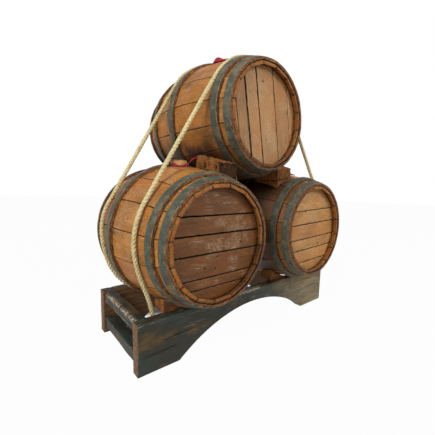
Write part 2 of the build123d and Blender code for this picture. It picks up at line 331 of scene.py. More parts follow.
def stave_back(height, angle, roundness):
    """Radius of a stave's back at an angle from its middle: flat, or partly worn to a full circle."""
    return height * ((1 - roundness) / math.cos(angle) + roundness / math.cos(math.pi / STAVE_COUNT))


def cask_place(name):
    """Where the front end of a cask's axis is: between its bilge hoop's sides, at its staves' front."""
    low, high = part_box(name + "_bilge_hoop")
    middle = (low + high) / 2
    return Vector((middle.x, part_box(name + "_staves")[0].y, middle.z))


def hoop_span(name, hoop):
    """Distances of a hoop's two edges from the front of its cask."""
    low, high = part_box(f"{name}_{hoop}")
    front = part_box(name + "_staves")[0].y
    return low.y - front, high.y - front


def stand_cask(bm, name, degrees=0.0):
    """Turn a mesh about its cask's axis, by degrees, and move it to where the cask lies."""
    turn(bm, math.radians(degrees), "Y")
    move(bm, cask_place(name))


def paint_shade_on_sides(bm, name, at_front):
    """Painted shade on the sides of a cask that look toward a neighbouring cask, less of it toward the
    front.
    """
    layers = bm.verts.layers.float
    dirt = layers.get("dirt") or layers.new("dirt")
    middle = cask_place(name)
    for toward, start, end in CASKS[name]["shaded_sides"]:
        side = Vector(toward).normalized()
        for vert in bm.verts:
            away = Vector((vert.co.x - middle.x, vert.co.z - middle.z)).normalized()
            facing = away.dot(side) + 0.18 * rough(vert.co, 0.03, 5)
            deep = at_front + (1 - at_front) * smooth_step(vert.co.y - middle.y, 10 * MM, 75 * MM)
            vert[dirt] = max(vert[dirt], deep * smooth_step(facing, start, end))


# Mesh helpers


def wander(place, length, seed=0.0):
    """Smooth noise from about -1 to 1 that changes over a length, the same each run."""
    return noise.noise(Vector(place) / length + Vector((seed, 1.7 * seed, -2.3 * seed)))


def rough(place, length, seed=0.0, octaves=4):
    """Noise with finer detail on it, from about -1 to 1."""
    moved = Vector(place) / length + Vector((seed, 1.7 * seed, -2.3 * seed))
    return noise.fractal(moved, 1.0, 2.0, octaves)


def own_grain(draw):
    """A piece's own seed, and the shift that gives it a stretch of grain of its own."""
    return draw.uniform(0, 90), Vector((draw.uniform(0, 9), draw.uniform(0, 9), 0))


def smooth_step(value, low, high):
    """0 below low, 1 above high and a soft ramp between them."""
    t = min(1.0, max(0.0, (value - low) / (high - low)))
    return t * t * (3 - 2 * t)


VALUES = ("tone", "grime", "wear", "pale")
Layers = namedtuple("Layers", ("grain", *VALUES))


def mesh_layers(bm):
    """What the finishes read at each vertex: place in the grain, board tone, grimy joints with painted
    shade beside the hoops and in recesses, wear, and scuffs, with a painted highlight along the stand's top
    edges.
    """
    vectors, values = bm.verts.layers.float_vector, bm.verts.layers.float
    if "grain" not in vectors:
        vectors.new("grain")
    for name in VALUES:
        if name not in values:
            values.new(name)
    return Layers(vectors["grain"], *(values[name] for name in VALUES))


def break_edges(bm, edges, width, segments=2):
    """Bevel edges as long use does, and mark the new faces' corners as worn."""
    layers = mesh_layers(bm)
    made = bmesh.ops.bevel(
        bm,
        geom=edges,
        offset=width,
        offset_type="OFFSET",
        segments=segments,
        profile=0.5,
        affect="EDGES",
        clamp_overlap=True,
        material=-1,
    )
    for vert in made["verts"]:
        vert[layers.wear] = 1.0


def sharp_edges(bm):
    """The edges where two faces meet at more than 60 degrees."""
    return [edge for edge in bm.edges if edge.calc_face_angle(0) > math.radians(60)]


def turn(bm, angle, axis):
    """Turn a whole mesh about an axis."""
    bmesh.ops.rotate(bm, verts=bm.verts, matrix=Matrix.Rotation(angle, 3, axis))


def move(bm, way):
    """Move a whole mesh."""
    bmesh.ops.translate(bm, verts=bm.verts, vec=way)


def thicken(bm):
    """Close a sheet into a solid by a copy of itself, and give back the copy's vertices to be moved."""
    made = bmesh.ops.extrude_face_region(bm, geom=bm.faces[:])
    return [item for item in made["geom"] if isinstance(item, bmesh.types.BMVert)]


def chain(bm, points, closed=False):
    """Join points by edges, each to the next, and the last to the first where the chain is closed."""
    verts = [bm.verts.new(point) for point in points]
    following = verts[1:] + verts[:1] if closed else verts[1:]
    for first, second in zip(verts, following):
        bm.edges.new((first, second))


def spin(bm, axis, steps, angle=2 * math.pi, centre=(0, 0, 0)):
    """Spin a side view round an axis; its seam is joined where it goes all the way round."""
    bmesh.ops.spin(
        bm,
        geom=bm.verts[:] + bm.edges[:] + bm.faces[:],
        cent=centre,
        axis=axis,
        dvec=(0, 0, 0),
        angle=angle,
        steps=steps,
        use_merge=angle == 2 * math.pi,
    )


def turned(points, axis, steps=48, centre=(0, 0, 0)):
    """A closed solid of revolution from the points of its side view, with its ends filled."""
    bm = bmesh.new()
    mesh_layers(bm)
    chain(bm, points)
    spin(bm, axis, steps, centre=centre)
    bmesh.ops.remove_doubles(bm, verts=bm.verts, dist=1e-7)
    bmesh.ops.holes_fill(bm, edges=[edge for edge in bm.edges if edge.is_boundary], sides=0)
    bmesh.ops.recalc_face_normals(bm, faces=bm.faces)
    return bm


def as_bmesh(mesh):
    """A mesh as a bmesh; the mesh is removed."""
    bm = bmesh.new()
    bm.from_mesh(mesh)
    bpy.data.meshes.remove(mesh)
    return bm


def add_to(main, bm):
    """Add one mesh to another and free it."""
    bmesh.ops.recalc_face_normals(bm, faces=bm.faces)
    mesh = bpy.data.meshes.new("part")
    bm.to_mesh(mesh)
    bm.free()
    main.from_mesh(mesh)
    bpy.data.meshes.remove(mesh)


def finish_piece(bm, name, body, slot, finish, *nodes, smooth=35.0):
    """Turn a bmesh into a piece that rides on a body and stands for CAD nodes."""
    mesh = bpy.data.meshes.new(name)
    bm.to_mesh(mesh)
    bm.free()
    return dress(mesh, name, body, slot, finish, *nodes, smooth=smooth)


def dress(mesh, name, body, slot, finish, *nodes, smooth=35.0):
    """Give a mesh its object, smooth shading up to an angle, its finish and its body; the slot is not used.
    """
    mesh.materials.clear()
    mesh.materials.append(finish)
    mesh.shade_smooth()
    mesh.set_sharp_from_angle(angle=math.radians(smooth))
    piece = bpy.data.objects.new(name, mesh)
    bpy.context.scene.collection.objects.link(piece)
    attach(piece, body)
    if nodes:
        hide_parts(*nodes)
    return piece


def baked(piece):
    """A piece's mesh with its modifiers applied; the piece and its old mesh are removed."""
    bpy.context.view_layer.update()
    graph = bpy.context.evaluated_depsgraph_get()
    mesh = bpy.data.meshes.new_from_object(piece.evaluated_get(graph), depsgraph=graph)
    bpy.data.objects.remove(piece)
    return mesh


def loose_object(bm, name="tool"):
    """A plain object for a modifier to work on or with."""
    mesh = bpy.data.meshes.new(name)
    bm.to_mesh(mesh)
    bm.free()
    made = bpy.data.objects.new(name, mesh)
    bpy.context.scene.collection.objects.link(made)
    return made


def combined(bm, other, operation, use_self):
    """The mesh of a bmesh with another one's solids joined to it or cut out of it."""
    work = loose_object(bm)
    tool = loose_object(other)
    step = work.modifiers.new("combine", "BOOLEAN")
    step.operation = operation
    step.solver = "EXACT"
    step.use_self = use_self
    step.object = tool
    mesh = baked(work)
    bpy.data.objects.remove(tool)
    return mesh


def cut_away(bm, cutters):
    """The mesh of a bmesh with another one's solids, which may overlap each other, cut out of it."""
    return combined(bm, cutters, "DIFFERENCE", True)


# Finishes


class Nodes:
    """A node tree, with short calls for the nodes that the finishes, the floor and the world share."""

    def __init__(self, tree):
        self.tree = tree

    def plug(self, socket, value):
        """Link a socket to another one, or set its value."""
        if isinstance(value, bpy.types.NodeSocket):
            self.tree.links.new(value, socket)
        else:
            socket.default_value = value

    def node(self, kind, *inputs, **settings):
        """A node with its settings and its inputs in order; None leaves an input alone."""
        made = self.tree.nodes.new("ShaderNode" + kind)
        for name, value in settings.items():
            setattr(made, name, value)
        for socket, value in zip(made.inputs, inputs):
            if value is not None:
                self.plug(socket, value)
        return made

    def attribute(self, name, output="Fac"):
        """A value that the mesh carries at its vertices."""
        return self.node("Attribute", attribute_name=name).outputs[output]

    def place(self):
        """Position in the frame that the whole object shares."""
        return self.node("TexCoord").outputs["Object"]

    def stretched(self, vector, *scales):
        """A vector scaled apart on its three axes."""
        return self.node("Mapping", vector, None, None, scales).outputs[0]

    def noise(self, vector, scale, detail=4.0, roughness=0.55, distortion=0.0):
        """Fractal noise from 0 to 1."""
        made = self.node("TexNoise")
        for name, value in (
            ("Vector", vector),
            ("Scale", scale),
            ("Detail", detail),
            ("Roughness", roughness),
            ("Distortion", distortion),
        ):
            self.plug(made.inputs[name], value)
        return made.outputs[0]

    def fibres(self, vector, scales, *look):
        """Fractal noise scaled apart on the three axes, so that it runs out into grain."""
        return self.noise(self.stretched(vector, *scales), 1.0, *look)

    def math(self, operation, *inputs, clamp=False):
        """A sum, product or other function of one to three values."""
        return self.node("Math", *inputs, operation=operation, use_clamp=clamp).outputs[0]

    def times(self, value, factor, *added, clamp=False):
        """A value times a factor, plus another value where one is given."""
        return self.math("MULTIPLY_ADD" if added else "MULTIPLY", value, factor, *added, clamp=clamp)

    def between(self, value, low, high):
        """A value's soft ramp from 0 at low to 1 at high."""
        return self.node("MapRange", value, low, high, 0.0, 1.0, interpolation_type="SMOOTHSTEP").outputs[0]

    def ramp(self, value, *stops):
        """Colours along a value, each stop a place and a colour."""
        made = self.node("ValToRGB", value)
        elements = made.color_ramp.elements
        while len(elements) < len(stops):
            elements.new(0.5)
        for element, (place, colour) in zip(elements, stops):
            element.position = place
            element.color = colour
        return made.outputs[0]

    def mix(self, amount, first, second, blend="MIX"):
        """Two colours mixed by an amount."""
        made = self.tree.nodes.new("ShaderNodeMix")
        made.data_type = "RGBA"
        made.blend_type = blend
        for index, value in ((0, amount), (6, first), (7, second)):
            self.plug(made.inputs[index], value)
        return made.outputs[2]

    def seen_white(self, share):
        """A share for whatever a camera, glossy or transmitted ray meets, and 0 for the light itself."""
        ray = self.node("LightPath").outputs
        seen = self.math("MAXIMUM", ray["Is Camera Ray"], ray["Is Glossy Ray"])
        seen = self.math("MAXIMUM", seen, ray["Is Transmission Ray"])
        return self.times(seen, share)

    def whiten(self, share, surface, white, output):
        """Put white over a surface, by a share, on its way to the output."""
        blend = self.node("MixShader", share, surface.outputs[0], white.outputs[0])
        self.plug(self.tree.nodes[output].inputs["Surface"], blend.outputs[0])


class Finish(Nodes):
    """A node material with its shader."""

    def __init__(self, name):
        self.material = bpy.data.materials.new(name)
        self.material.use_nodes = True
        super().__init__(self.material.node_tree)
        self.shader = self.tree.nodes["Principled BSDF"]

    def in_painted_shade(self, colour):
        """A colour darkened toward near-black by the painted shade that the mesh carries at its vertices.
        """
        return self.mix(self.times(self.attribute("dirt"), 0.93), colour, srgb(20, 14, 10))

    def bump(self, height, depth, strength):
        """A normal that follows a height."""
        made = self.node("Bump")
        for name, value in (("Strength", strength), ("Distance", depth), ("Height", height)):
            self.plug(made.inputs[name], value)
        return made.outputs[0]

    def done(self, colour, roughness, normal=None, **others):
        """Connect the shader's inputs and hand the material back."""
        self.plug(self.shader.inputs["Base Color"], colour)
        self.plug(self.shader.inputs["Roughness"], roughness)
        if normal is not None:
            self.plug(self.shader.inputs["Normal"], normal)
        for name, value in others.items():
            self.plug(self.shader.inputs[name.replace("_", " ").title().replace("Ior", "IOR")], value)
        return self.material


def shade(colour, factor):
    """A colour made darker or lighter by a factor."""
    return tuple(min(1.0, value * factor) for value in colour[:3]) + (1.0,)


def oak_finish(name, clean, dark, scuff, soot_and_shade, scuffed=0.5, streaky=1.0):
    """Old oak: long grain, blotches, pale scuffs, dark pores, sooty joints, and painted shade where the
    mesh marks it, beside the hoops and in recesses.
    """
    made = Finish(name)
    grain = made.attribute("grain", "Vector")
    dirt = made.attribute("grime")
    wear = made.attribute("wear")
    pale = made.attribute("pale")

    long_grain = made.fibres(grain, (150, 9, 150), 7, 0.7, 0.6)
    fine_grain = made.fibres(grain, (1100, 60, 1100), 4, 0.7)
    blotches = made.fibres(grain, (26, 11, 26), 5, 0.6, 0.6)
    streaks = made.times(long_grain, 0.5, made.times(blotches, 0.5))
    step = 0.07 / streaky
    wood = made.ramp(
        streaks,
        (0.5 - 2.6 * step, dark),
        (0.5 - step, shade(clean, 0.72)),
        (0.5 + 0.4 * step, clean),
        (0.5 + 2.4 * step, shade(clean, 1.4)),
    )
    pores = made.between(fine_grain, 0.36, 0.47)
    wood = made.mix(made.times(made.math("SUBTRACT", 1.0, pores), 0.6), wood, dark)
    warm = (clean[0], 0.7 * clean[1], 0.42 * clean[2], 1.0)
    warm_part = made.between(made.fibres(grain, (24, 9, 24), 4, 0.55, 0.8), 0.46, 0.66)
    wood = made.mix(made.times(warm_part, 0.42), wood, warm)
    toned = made.ramp(
        made.attribute("tone"),
        (0.0, (0.2, 0.14, 0.1, 1)),
        (0.5, (0.8, 0.72, 0.64, 1)),
        (1.0, (1, 1, 1, 1)),
    )
    wood = made.mix(1.0, wood, toned, "MULTIPLY")

    patches = made.between(made.fibres(grain, (42, 20, 42), 3, 0.5), 0.5, 0.64)
    scratches = made.between(made.fibres(grain, (420, 34, 420), 5, 0.75, 0.5), 0.54, 0.68)
    flecks = made.between(made.fibres(grain, (640, 210, 640), 6, 0.8), 0.42, 0.68)
    rubbed = made.times(made.times(patches, scratches), scuffed)
    fleck_area = made.times(patches, 0.3 * scuffed, pale, clamp=True)
    rubbed = made.math("MAXIMUM", rubbed, made.times(made.times(fleck_area, flecks), 0.6))
    wood = made.mix(rubbed, wood, scuff)
    edge_noise = made.fibres(grain, (300, 120, 300), 3, 0.6)
    rubbed_edge = made.between(made.times(wear, edge_noise), 0.5, 0.62)
    wood = made.mix(made.times(rubbed_edge, 0.45), wood, scuff)

    # Dark joints, with painted shade where the mesh marks it beside the hoops and in the recesses.
    ragged = made.times(made.math("SUBTRACT", edge_noise, 0.5), 0.9, dirt)
    joints_and_shade = made.between(ragged, 0.42, 0.95)
    wood = made.mix(joints_and_shade, wood, soot_and_shade)

    mottle = made.noise(grain, 520.0, 4, 0.7)
    # Dark mottle, then the painted shade on sides that face a neighbouring cask.
    wood = made.in_painted_shade(made.mix(made.times(made.between(mottle, 0.52, 0.4), 0.4), wood, soot_and_shade))
    relief = made.times(fine_grain, 0.35, made.times(long_grain, 0.8))
    relief = made.times(mottle, 0.4, relief)
    relief = made.times(joints_and_shade, -0.5, relief)
    relief = made.times(rubbed, 0.25, relief)
    gloss = made.times(long_grain, 0.25, 0.42)
    gloss = made.times(joints_and_shade, 0.3, gloss, clamp=True)
    return made.done(wood, gloss, made.bump(relief, 1.1 * MM, 0.8), specular_ior_level=0.3)


def iron_finish(settings):
    """Hoop iron: speckled grey-green patina, brown rust on its sides and edges, pale worn corners with a
    painted highlight.
    """
    made = Finish("hoop_iron")
    grain = made.attribute("grain", "Vector")
    side = made.attribute("grime")
    wear = made.attribute("wear")
    rim = made.attribute("tone")
    clouds = made.fibres(grain, (48, 70, 48), 6, 0.62, 0.4)
    speckle = made.noise(grain, 1100.0, 4, 0.75)
    spots = made.noise(grain, 240.0, 5, 0.65, 0.3)
    iron = made.ramp(
        clouds,
        (0.32, shade(settings.blue_patina, 0.65)),
        (0.45, settings.blue_patina),
        (0.6, settings.patina),
        (0.76, shade(settings.patina, 1.3)),
    )
    iron = made.mix(made.between(speckle, 0.54, 0.7), iron, shade(settings.patina, 1.9))
    iron = made.mix(made.between(speckle, 0.47, 0.34), iron, shade(settings.blue_patina, 0.3))
    rusting = made.times(rim, 0.16, spots)
    iron = made.mix(made.between(rusting, 0.56, 0.68), iron, settings.rust)
    ridges = made.noise(grain, 110.0, 5, 0.7, 0.4)
    bare = made.ramp(
        ridges,
        (0.38, shade(settings.rust, 0.2)),
        (0.5, settings.rust),
        (0.64, srgb(160, 112, 66)),
    )
    bare = made.mix(made.times(made.between(speckle, 0.56, 0.7), 0.5), bare, srgb(170, 136, 94))
    rusty_side = made.between(made.times(spots, 0.4, side), 0.5, 0.9)
    iron = made.mix(rusty_side, iron, bare)
    # Pale worn iron along the rounded outer edges, partly a painted highlight.
    corner = made.times(wear, made.noise(grain, 62.0, 7, 0.75))
    iron = made.mix(made.times(made.between(corner, 0.48, 0.6), 0.6), iron, srgb(170, 142, 100))
    # The painted shade on sides that face a neighbouring cask.
    iron = made.in_painted_shade(iron)
    relief = made.times(speckle, 0.5, made.times(spots, 0.8))
    relief = made.times(made.times(ridges, side), 1.2, relief)
    rough_iron = made.times(clouds, 0.3, 0.5)
    normal = made.bump(relief, 0.8 * MM, 0.8)
    return made.done(iron, rough_iron, normal, metallic=0.1, specular_ior_level=0.35)


def stand_finish(settings):
    """Weathered board: dark and green-grey at the left, ochre at the right, raw inside, pale edges, and a
    painted highlight along the top edges.
    """
    made = Finish("stand_wood")
    place = made.place()
    grain = made.attribute("grain", "Vector")
    raw_part = made.attribute("tone")
    pale = made.attribute("pale")
    wear = made.attribute("wear")
    along = made.node("SeparateXYZ", place).outputs[0]
    long_grain = made.fibres(grain, (9, 260, 260), 6, 0.65, 0.5)
    fine_grain = made.fibres(grain, (40, 1200, 1200), 4, 0.7)
    clouds = made.noise(place, 26.0, 5, 0.6, 0.4)
    spread = made.times(made.math("SUBTRACT", clouds, 0.5), 0.3, along)
    base = made.mix(made.between(spread, -0.02, 0.2), settings.left_shade, settings.right_shade)
    teal = made.between(made.noise(place, 17.0, 3, 0.5), 0.48, 0.62)
    base = made.mix(made.times(teal, 0.4), base, srgb(62, 76, 72))
    ochre = made.between(made.noise(made.stretched(place, 1, 1, 1.6), 21.0, 4, 0.5), 0.53, 0.66)
    base = made.mix(made.times(ochre, 0.5), base, srgb(116, 88, 46))
    depth = made.ramp(
        made.times(fine_grain, 0.35, made.times(long_grain, 0.65)),
        (0.32, (0.22, 0.2, 0.18, 1)),
        (0.45, (0.7, 0.68, 0.66, 1)),
        (0.55, (1, 1, 1, 1)),
    )
    raw = made.ramp(
        long_grain,
        (0.36, shade(settings.raw_shade, 0.14)),
        (0.5, srgb(104, 74, 46)),
        (0.66, srgb(134, 98, 60)),
    )
    bare = made.between(made.times(made.math("SUBTRACT", clouds, 0.5), 1.6, raw_part), 0.35, 0.75)
    wood = made.mix(bare, made.mix(1.0, base, depth, "MULTIPLY"), raw)
    scratch = made.between(made.fibres(grain, (22, 420, 420), 5, 0.75, 0.4), 0.56, 0.7)
    patch = made.between(made.noise(place, 33.0, 3, 0.5), 0.48, 0.62)
    scratches_and_highlight = made.times(made.times(scratch, patch), 0.45)
    flecks = made.between(made.fibres(grain, (160, 620, 620), 5, 0.75), 0.42, 0.58)
    # Flecks where the mesh marks pale: scuffs, and the painted highlight along the top edges.
    scratches_and_highlight = made.math("MAXIMUM", scratches_and_highlight, made.times(made.times(flecks, pale), 0.85))
    wood = made.mix(scratches_and_highlight, wood, settings.worn_shade)
    ragged = made.times(wear, made.noise(made.stretched(place, 0.4, 1, 1), 240.0, 5, 0.65))
    worn = made.times(made.between(ragged, 0.47, 0.6), 0.6)
    wood = made.mix(worn, wood, settings.worn_shade)
    # Near-black inside the cracks: painted shade.
    wood = made.mix(made.between(made.attribute("grime"), 0.2, 0.9), wood, srgb(16, 12, 9))
    relief = made.times(fine_grain, 0.4, made.times(long_grain, 0.9))
    gloss = made.times(long_grain, 0.3, 0.45)
    return made.done(wood, gloss, made.bump(relief, 1.5 * MM, 0.9), specular_ior_level=0.3)


def split_wood_finish(settings):
    """Raw split wood of the chocks and cradle blocks: brown fibres, with painted shade in the holes between
    them.
    """
    made = Finish("block_wood")
    grain = made.attribute("grain", "Vector")
    hollow = made.attribute("grime")
    fibres = made.fibres(grain, (90, 620, 620), 6, 0.72, 0.5)
    specks = made.noise(grain, 620.0, 5, 0.75)
    clouds = made.noise(grain, 45.0, 4, 0.55)
    wood = made.ramp(
        fibres,
        (0.32, shade(settings.raw_shade, 0.16)),
        (0.45, shade(settings.raw_shade, 0.55)),
        (0.56, settings.raw_shade),
        (0.7, shade(settings.raw_shade, 1.45)),
    )
    wood = made.mix(made.times(made.between(clouds, 0.42, 0.62), 0.5), wood, srgb(112, 62, 38))
    toned = made.ramp(made.attribute("tone"), (0.0, (0.12, 0.09, 0.07, 1)), (1.0, (1, 1, 1, 1)))
    wood = made.mix(1.0, wood, toned, "MULTIPLY")
    wood = made.mix(made.between(specks, 0.45, 0.36), wood, srgb(30, 18, 11))
    wood = made.mix(made.times(made.between(specks, 0.57, 0.66), 0.4), wood, srgb(206, 160, 110))
    # Painted shade in the pits and along the split between the boards.
    wood = made.mix(made.between(hollow, 0.35, 1.0), wood, srgb(20, 12, 8))
    relief = made.times(specks, 0.8, fibres)
    return made.done(wood, 0.75, made.bump(relief, 1.6 * MM, 0.9), specular_ior_level=0.2)


def rope_finish(settings):
    """Pale hemp: fine yarns that wind round each strand, with painted shade where the strands meet."""
    made = Finish("rope_fibre")
    grain = made.attribute("grain", "Vector")
    hollow = made.attribute("grime")
    yarns = made.fibres(grain, (2400, 300, 1), 4, 0.7, 0.3)
    lumps = made.fibres(grain, (300, 90, 1), 3, 0.6)
    length = made.noise(made.place(), 22.0, 3, 0.5)
    hemp = made.ramp(
        yarns,
        (0.3, settings.shaded),
        (0.5, settings.pale),
        (0.7, srgb(244, 236, 208)),
    )
    hemp = made.mix(made.between(lumps, 0.55, 0.7), hemp, shade(settings.shaded, 1.3))
    hemp = made.mix(made.times(made.between(length, 0.5, 0.64), 0.3), hemp, srgb(176, 154, 92))
    # Painted shade where the strands meet, toward the rope's core.
    hemp = made.mix(made.times(made.between(hollow, 0.35, 1.0), 0.75), hemp, shade(settings.shaded, 0.35))
    relief = made.times(yarns, 0.8, made.times(lumps, 0.4))
    normal = made.bump(relief, 0.6 * MM, 0.8)
    return made.done(hemp, 0.85, normal, specular_ior_level=0.15, sheen_weight=0.25)


def cloth_finish(settings):
    """Crimson cotton with its weave, with painted light and shade in patches for its folds."""
    made = Finish("bung_cloth")
    weave_place = made.attribute("grain", "Vector")
    threads = made.node("TexWave", weave_place, 1500.0, 0.6, 2.0, bands_direction="X").outputs[1]
    cross = made.node("TexWave", weave_place, 1500.0, 0.6, 2.0, bands_direction="Y").outputs[1]
    weave = made.math("MAXIMUM", threads, cross)
    folds = made.noise(made.place(), 120.0, 4, 0.6)
    # Painted light and shade: lit and shaded copies of the crimson in noise patches.
    lit = made.between(folds, 0.35, 0.65)
    cloth = made.mix(lit, shade(settings.crimson, 0.5), shade(settings.crimson, 1.25))
    between_threads = made.math("SUBTRACT", 1.0, weave)
    cloth = made.mix(made.times(between_threads, 0.4), cloth, shade(settings.crimson, 0.4))
    normal = made.bump(weave, 0.12 * MM, 0.6)
    return made.done(cloth, 0.8, normal, specular_ior_level=0.2, sheen_weight=0.3)


def bung_finish():
    """Bare tan wood of the bungs, with rings on its sawn top."""
    made = Finish("bung_wood")
    place = made.place()
    fibres = made.fibres(place, (500, 500, 70), 5, 0.7, 0.4)
    clouds = made.noise(place, 90.0, 4, 0.6)
    wood = made.ramp(
        fibres,
        (0.35, srgb(96, 62, 34)),
        (0.5, srgb(196, 148, 92)),
        (0.66, srgb(226, 188, 132)),
    )
    wood = made.mix(made.between(clouds, 0.5, 0.7), wood, srgb(122, 78, 44))
    return made.done(wood, 0.68, made.bump(fibres, 0.9 * MM, 0.8), specular_ior_level=0.25)


def spigot_finish():
    """Oiled turned wood of the spigots."""
    made = Finish("spigot_wood")
    place = made.place()
    fibres = made.fibres(place, (420, 34, 420), 6, 0.65, 0.4)
    pores = made.fibres(place, (1500, 120, 1500), 3, 0.7)
    wood = made.ramp(fibres, (0.34, srgb(84, 48, 24)), (0.5, srgb(150, 98, 54)), (0.66, srgb(186, 132, 80)))
    wood = made.mix(made.between(pores, 0.44, 0.36), wood, srgb(52, 30, 16))
    relief = made.times(pores, 0.4, fibres)
    return made.done(wood, 0.46, made.bump(relief, 0.5 * MM, 0.6), specular_ior_level=0.4)


def wire_finish():
    """Dull iron wire of the staples, rusty in spots."""
    made = Finish("staple_wire")
    place = made.place()
    spots = made.noise(place, 420.0, 5, 0.65)
    wire = made.ramp(spots, (0.38, srgb(96, 88, 80)), (0.52, srgb(70, 60, 52)), (0.62, srgb(104, 62, 36)))
    return made.done(wire, made.times(spots, 0.5, 0.25), made.bump(spots, 0.3 * MM, 0.6), metallic=0.6)


# Staves


def stave_rows(name, settings):
    """Distances at which a stave has a ring of points: even rows, and closer ones beside the hoops."""
    count = round((CASK_LENGTH - 2 * CHIME_LENGTH) / settings.row_length)
    rows = [CHIME_LENGTH + (CASK_LENGTH - 2 * CHIME_LENGTH) * step / count for step in range(count + 1)]
    hoop_rows = []
    beside = 2.2 * MM
    for hoop in HOOPS:
        near, far = hoop_span(name, hoop)
        hoop_rows += [near - beside, near, far, far + beside]
    hoop_rows = [row for row in hoop_rows if CHIME_LENGTH < row < CASK_LENGTH - CHIME_LENGTH]
    clear = 1.2 * MM
    kept = [row for row in rows[1:-1] if all(abs(row - other) > clear for other in hoop_rows)]
    return sorted(rows[:1] + kept + hoop_rows + rows[-1:])


def stave_outline(rows):
    """Side view of a stave as (distance, height) points, with its chime bevels and crozes."""
    groove = (HEAD_RECESS - CROZE_PLAY, HEAD_RECESS + HEAD_TONGUE + CROZE_PLAY)
    end = CASK_LENGTH
    inner_rows = [groove[1] + (end - 2 * groove[1]) * step / 12 for step in range(13)]

    def inside(distance):
        return (distance, stave_height(distance, STAVE_THICKNESS))

    def in_groove(distance):
        return (distance, stave_height(distance, STAVE_THICKNESS - CROZE_DEPTH))

    def chime(distance):
        return (distance, stave_height(distance, CHIME_DEPTH))

    front = [inside(0), inside(groove[0]), in_groove(groove[0]), in_groove(groove[1])]
    back = [(end - distance, height) for distance, height in reversed(front)]
    outside = [(row, stave_height(row)) for row in reversed(rows)]
    ring = (CHIME_DEPTH + STAVE_THICKNESS) / 2
    near_end = [chime(0), (0, stave_height(0, ring))]
    far_end = [(end, stave_height(end, ring)), chime(end)]
    return front + [inside(row) for row in inner_rows] + back + far_end + outside + near_end


def near_hoops(distance, spans):
    """1 under a hoop's edge, falling to 0 a little way from it."""
    reach = 2.2 * MM
    gaps = [max(near - distance, distance - far, 0.0) for near, far in spans]
    return max(0.0, 1 - min(gaps) / reach)


def make_stave(name, index, rows, scuffed, settings, draw):
    """One stave: its outline spun between two joints, flattened, chipped and coloured."""
    bm = bmesh.new()
    layers = mesh_layers(bm)
    half = math.pi / STAVE_COUNT - STAVE_GAP / 2
    outline = [bm.verts.new((0, distance, height)) for distance, height in stave_outline(rows)]
    bm.faces.new(outline)
    turn(bm, -half, "Y")
    spin(bm, (0, 1, 0), settings.steps_across, 2 * half)

    def is_outside(vert):
        return math.hypot(vert.co.x, vert.co.z) > stave_height(vert.co.y, CHIME_DEPTH + 0.1 * MM)

    def at_joint(vert):
        return abs(abs(math.atan2(vert.co.x, vert.co.z)) - half) < 1e-4

    joints = [
        edge
        for edge in bm.edges
        if all(is_outside(vert) and at_joint(vert) for vert in edge.verts)
        and abs(edge.verts[0].co.y - edge.verts[1].co.y) > 0.1 * MM
    ]
    break_edges(bm, joints, settings.joint_wear)

    spans = [hoop_span(name, hoop) for hoop in HOOPS]
    seed, shift = own_grain(draw)
    board_tone = draw.uniform(0.55, 1.0)
    sunk = draw.uniform(0, 0.5 * MM)
    short = draw.uniform(0, 0.7 * MM)
    for vert in bm.verts:
        x, distance, z = vert.co
        angle = math.atan2(x, z)
        height = math.hypot(x, z)
        outside = height > stave_height(distance, STAVE_THICKNESS / 2)
        on_end = min(distance, CASK_LENGTH - distance) < 0.5 * MM
        beside_joint = smooth_step(abs(angle) / half, 0.72, 1.0)
        radius = stave_back(height, angle, settings.roundness)
        around = angle * BILGE_RADIUS
        vert[layers.grain] = Vector((around, distance, height - BILGE_RADIUS)) + shift
        vert[layers.tone] = board_tone
        under_hoop = near_hoops(distance, spans)
        if outside:
            place = (around, distance, 10 * seed)
            worn = 0.35 * MM * (1 + wander(place, 0.035)) * 0.5
            chip = smooth_step(wander((0, distance, math.copysign(seed, angle)), 0.012), 0.15, 0.55)
            radius -= (worn + sunk) * (1 - under_hoop) + settings.chips * chip * beside_joint
            joint = 0.85 * smooth_step(abs(angle) / half, 0.945, 0.99) + 0.3 * chip * beside_joint
            # Dark joints and chips, and painted contact shade along each hoop's edges.
            vert[layers.grime] = max(0.95 * under_hoop, joint)
            vert[layers.pale] = scuffed * smooth_step(rough(place, 0.03, seed + 7, 2), 0.0, 0.4)
        else:
            # Painted shade on the inner faces, seen on the inner wall of the recessed chime.
            vert[layers.grime] = 0.72
        if on_end:
            ragged = abs(rough((around, 3 * seed, radius), 0.005, seed)) * 1.3 * MM
            distance += math.copysign(short + ragged, CASK_LENGTH / 2 - distance)
            vert[layers.grime] = 0.36 + 0.5 * smooth_step(abs(angle) / half, 0.93, 1.0)
            vert[layers.tone] = 0.45 * board_tone + 0.12 * rough((around, 0, radius), 0.012, seed)
        vert.co = (radius * math.sin(angle), distance, radius * math.cos(angle))
    turn(bm, 2 * math.pi * index / STAVE_COUNT, "Y")
    return bm


def bung_hole():
    """The tapered hole's solid, in the cask's own frame."""
    bm = bmesh.new()
    bmesh.ops.create_cone(
        bm,
        cap_ends=True,
        segments=48,
        radius1=BUNG_TIP_RADIUS + BUNG_PLAY,
        radius2=BUNG_TOP_RADIUS + BUNG_PLAY,
        depth=BUNG_LENGTH,
    )
    top = stave_height(BUNG_FROM_FRONT) + BUNG_STAND_OUT
    move(bm, (0, BUNG_FROM_FRONT, top - BUNG_LENGTH / 2))
    return bm


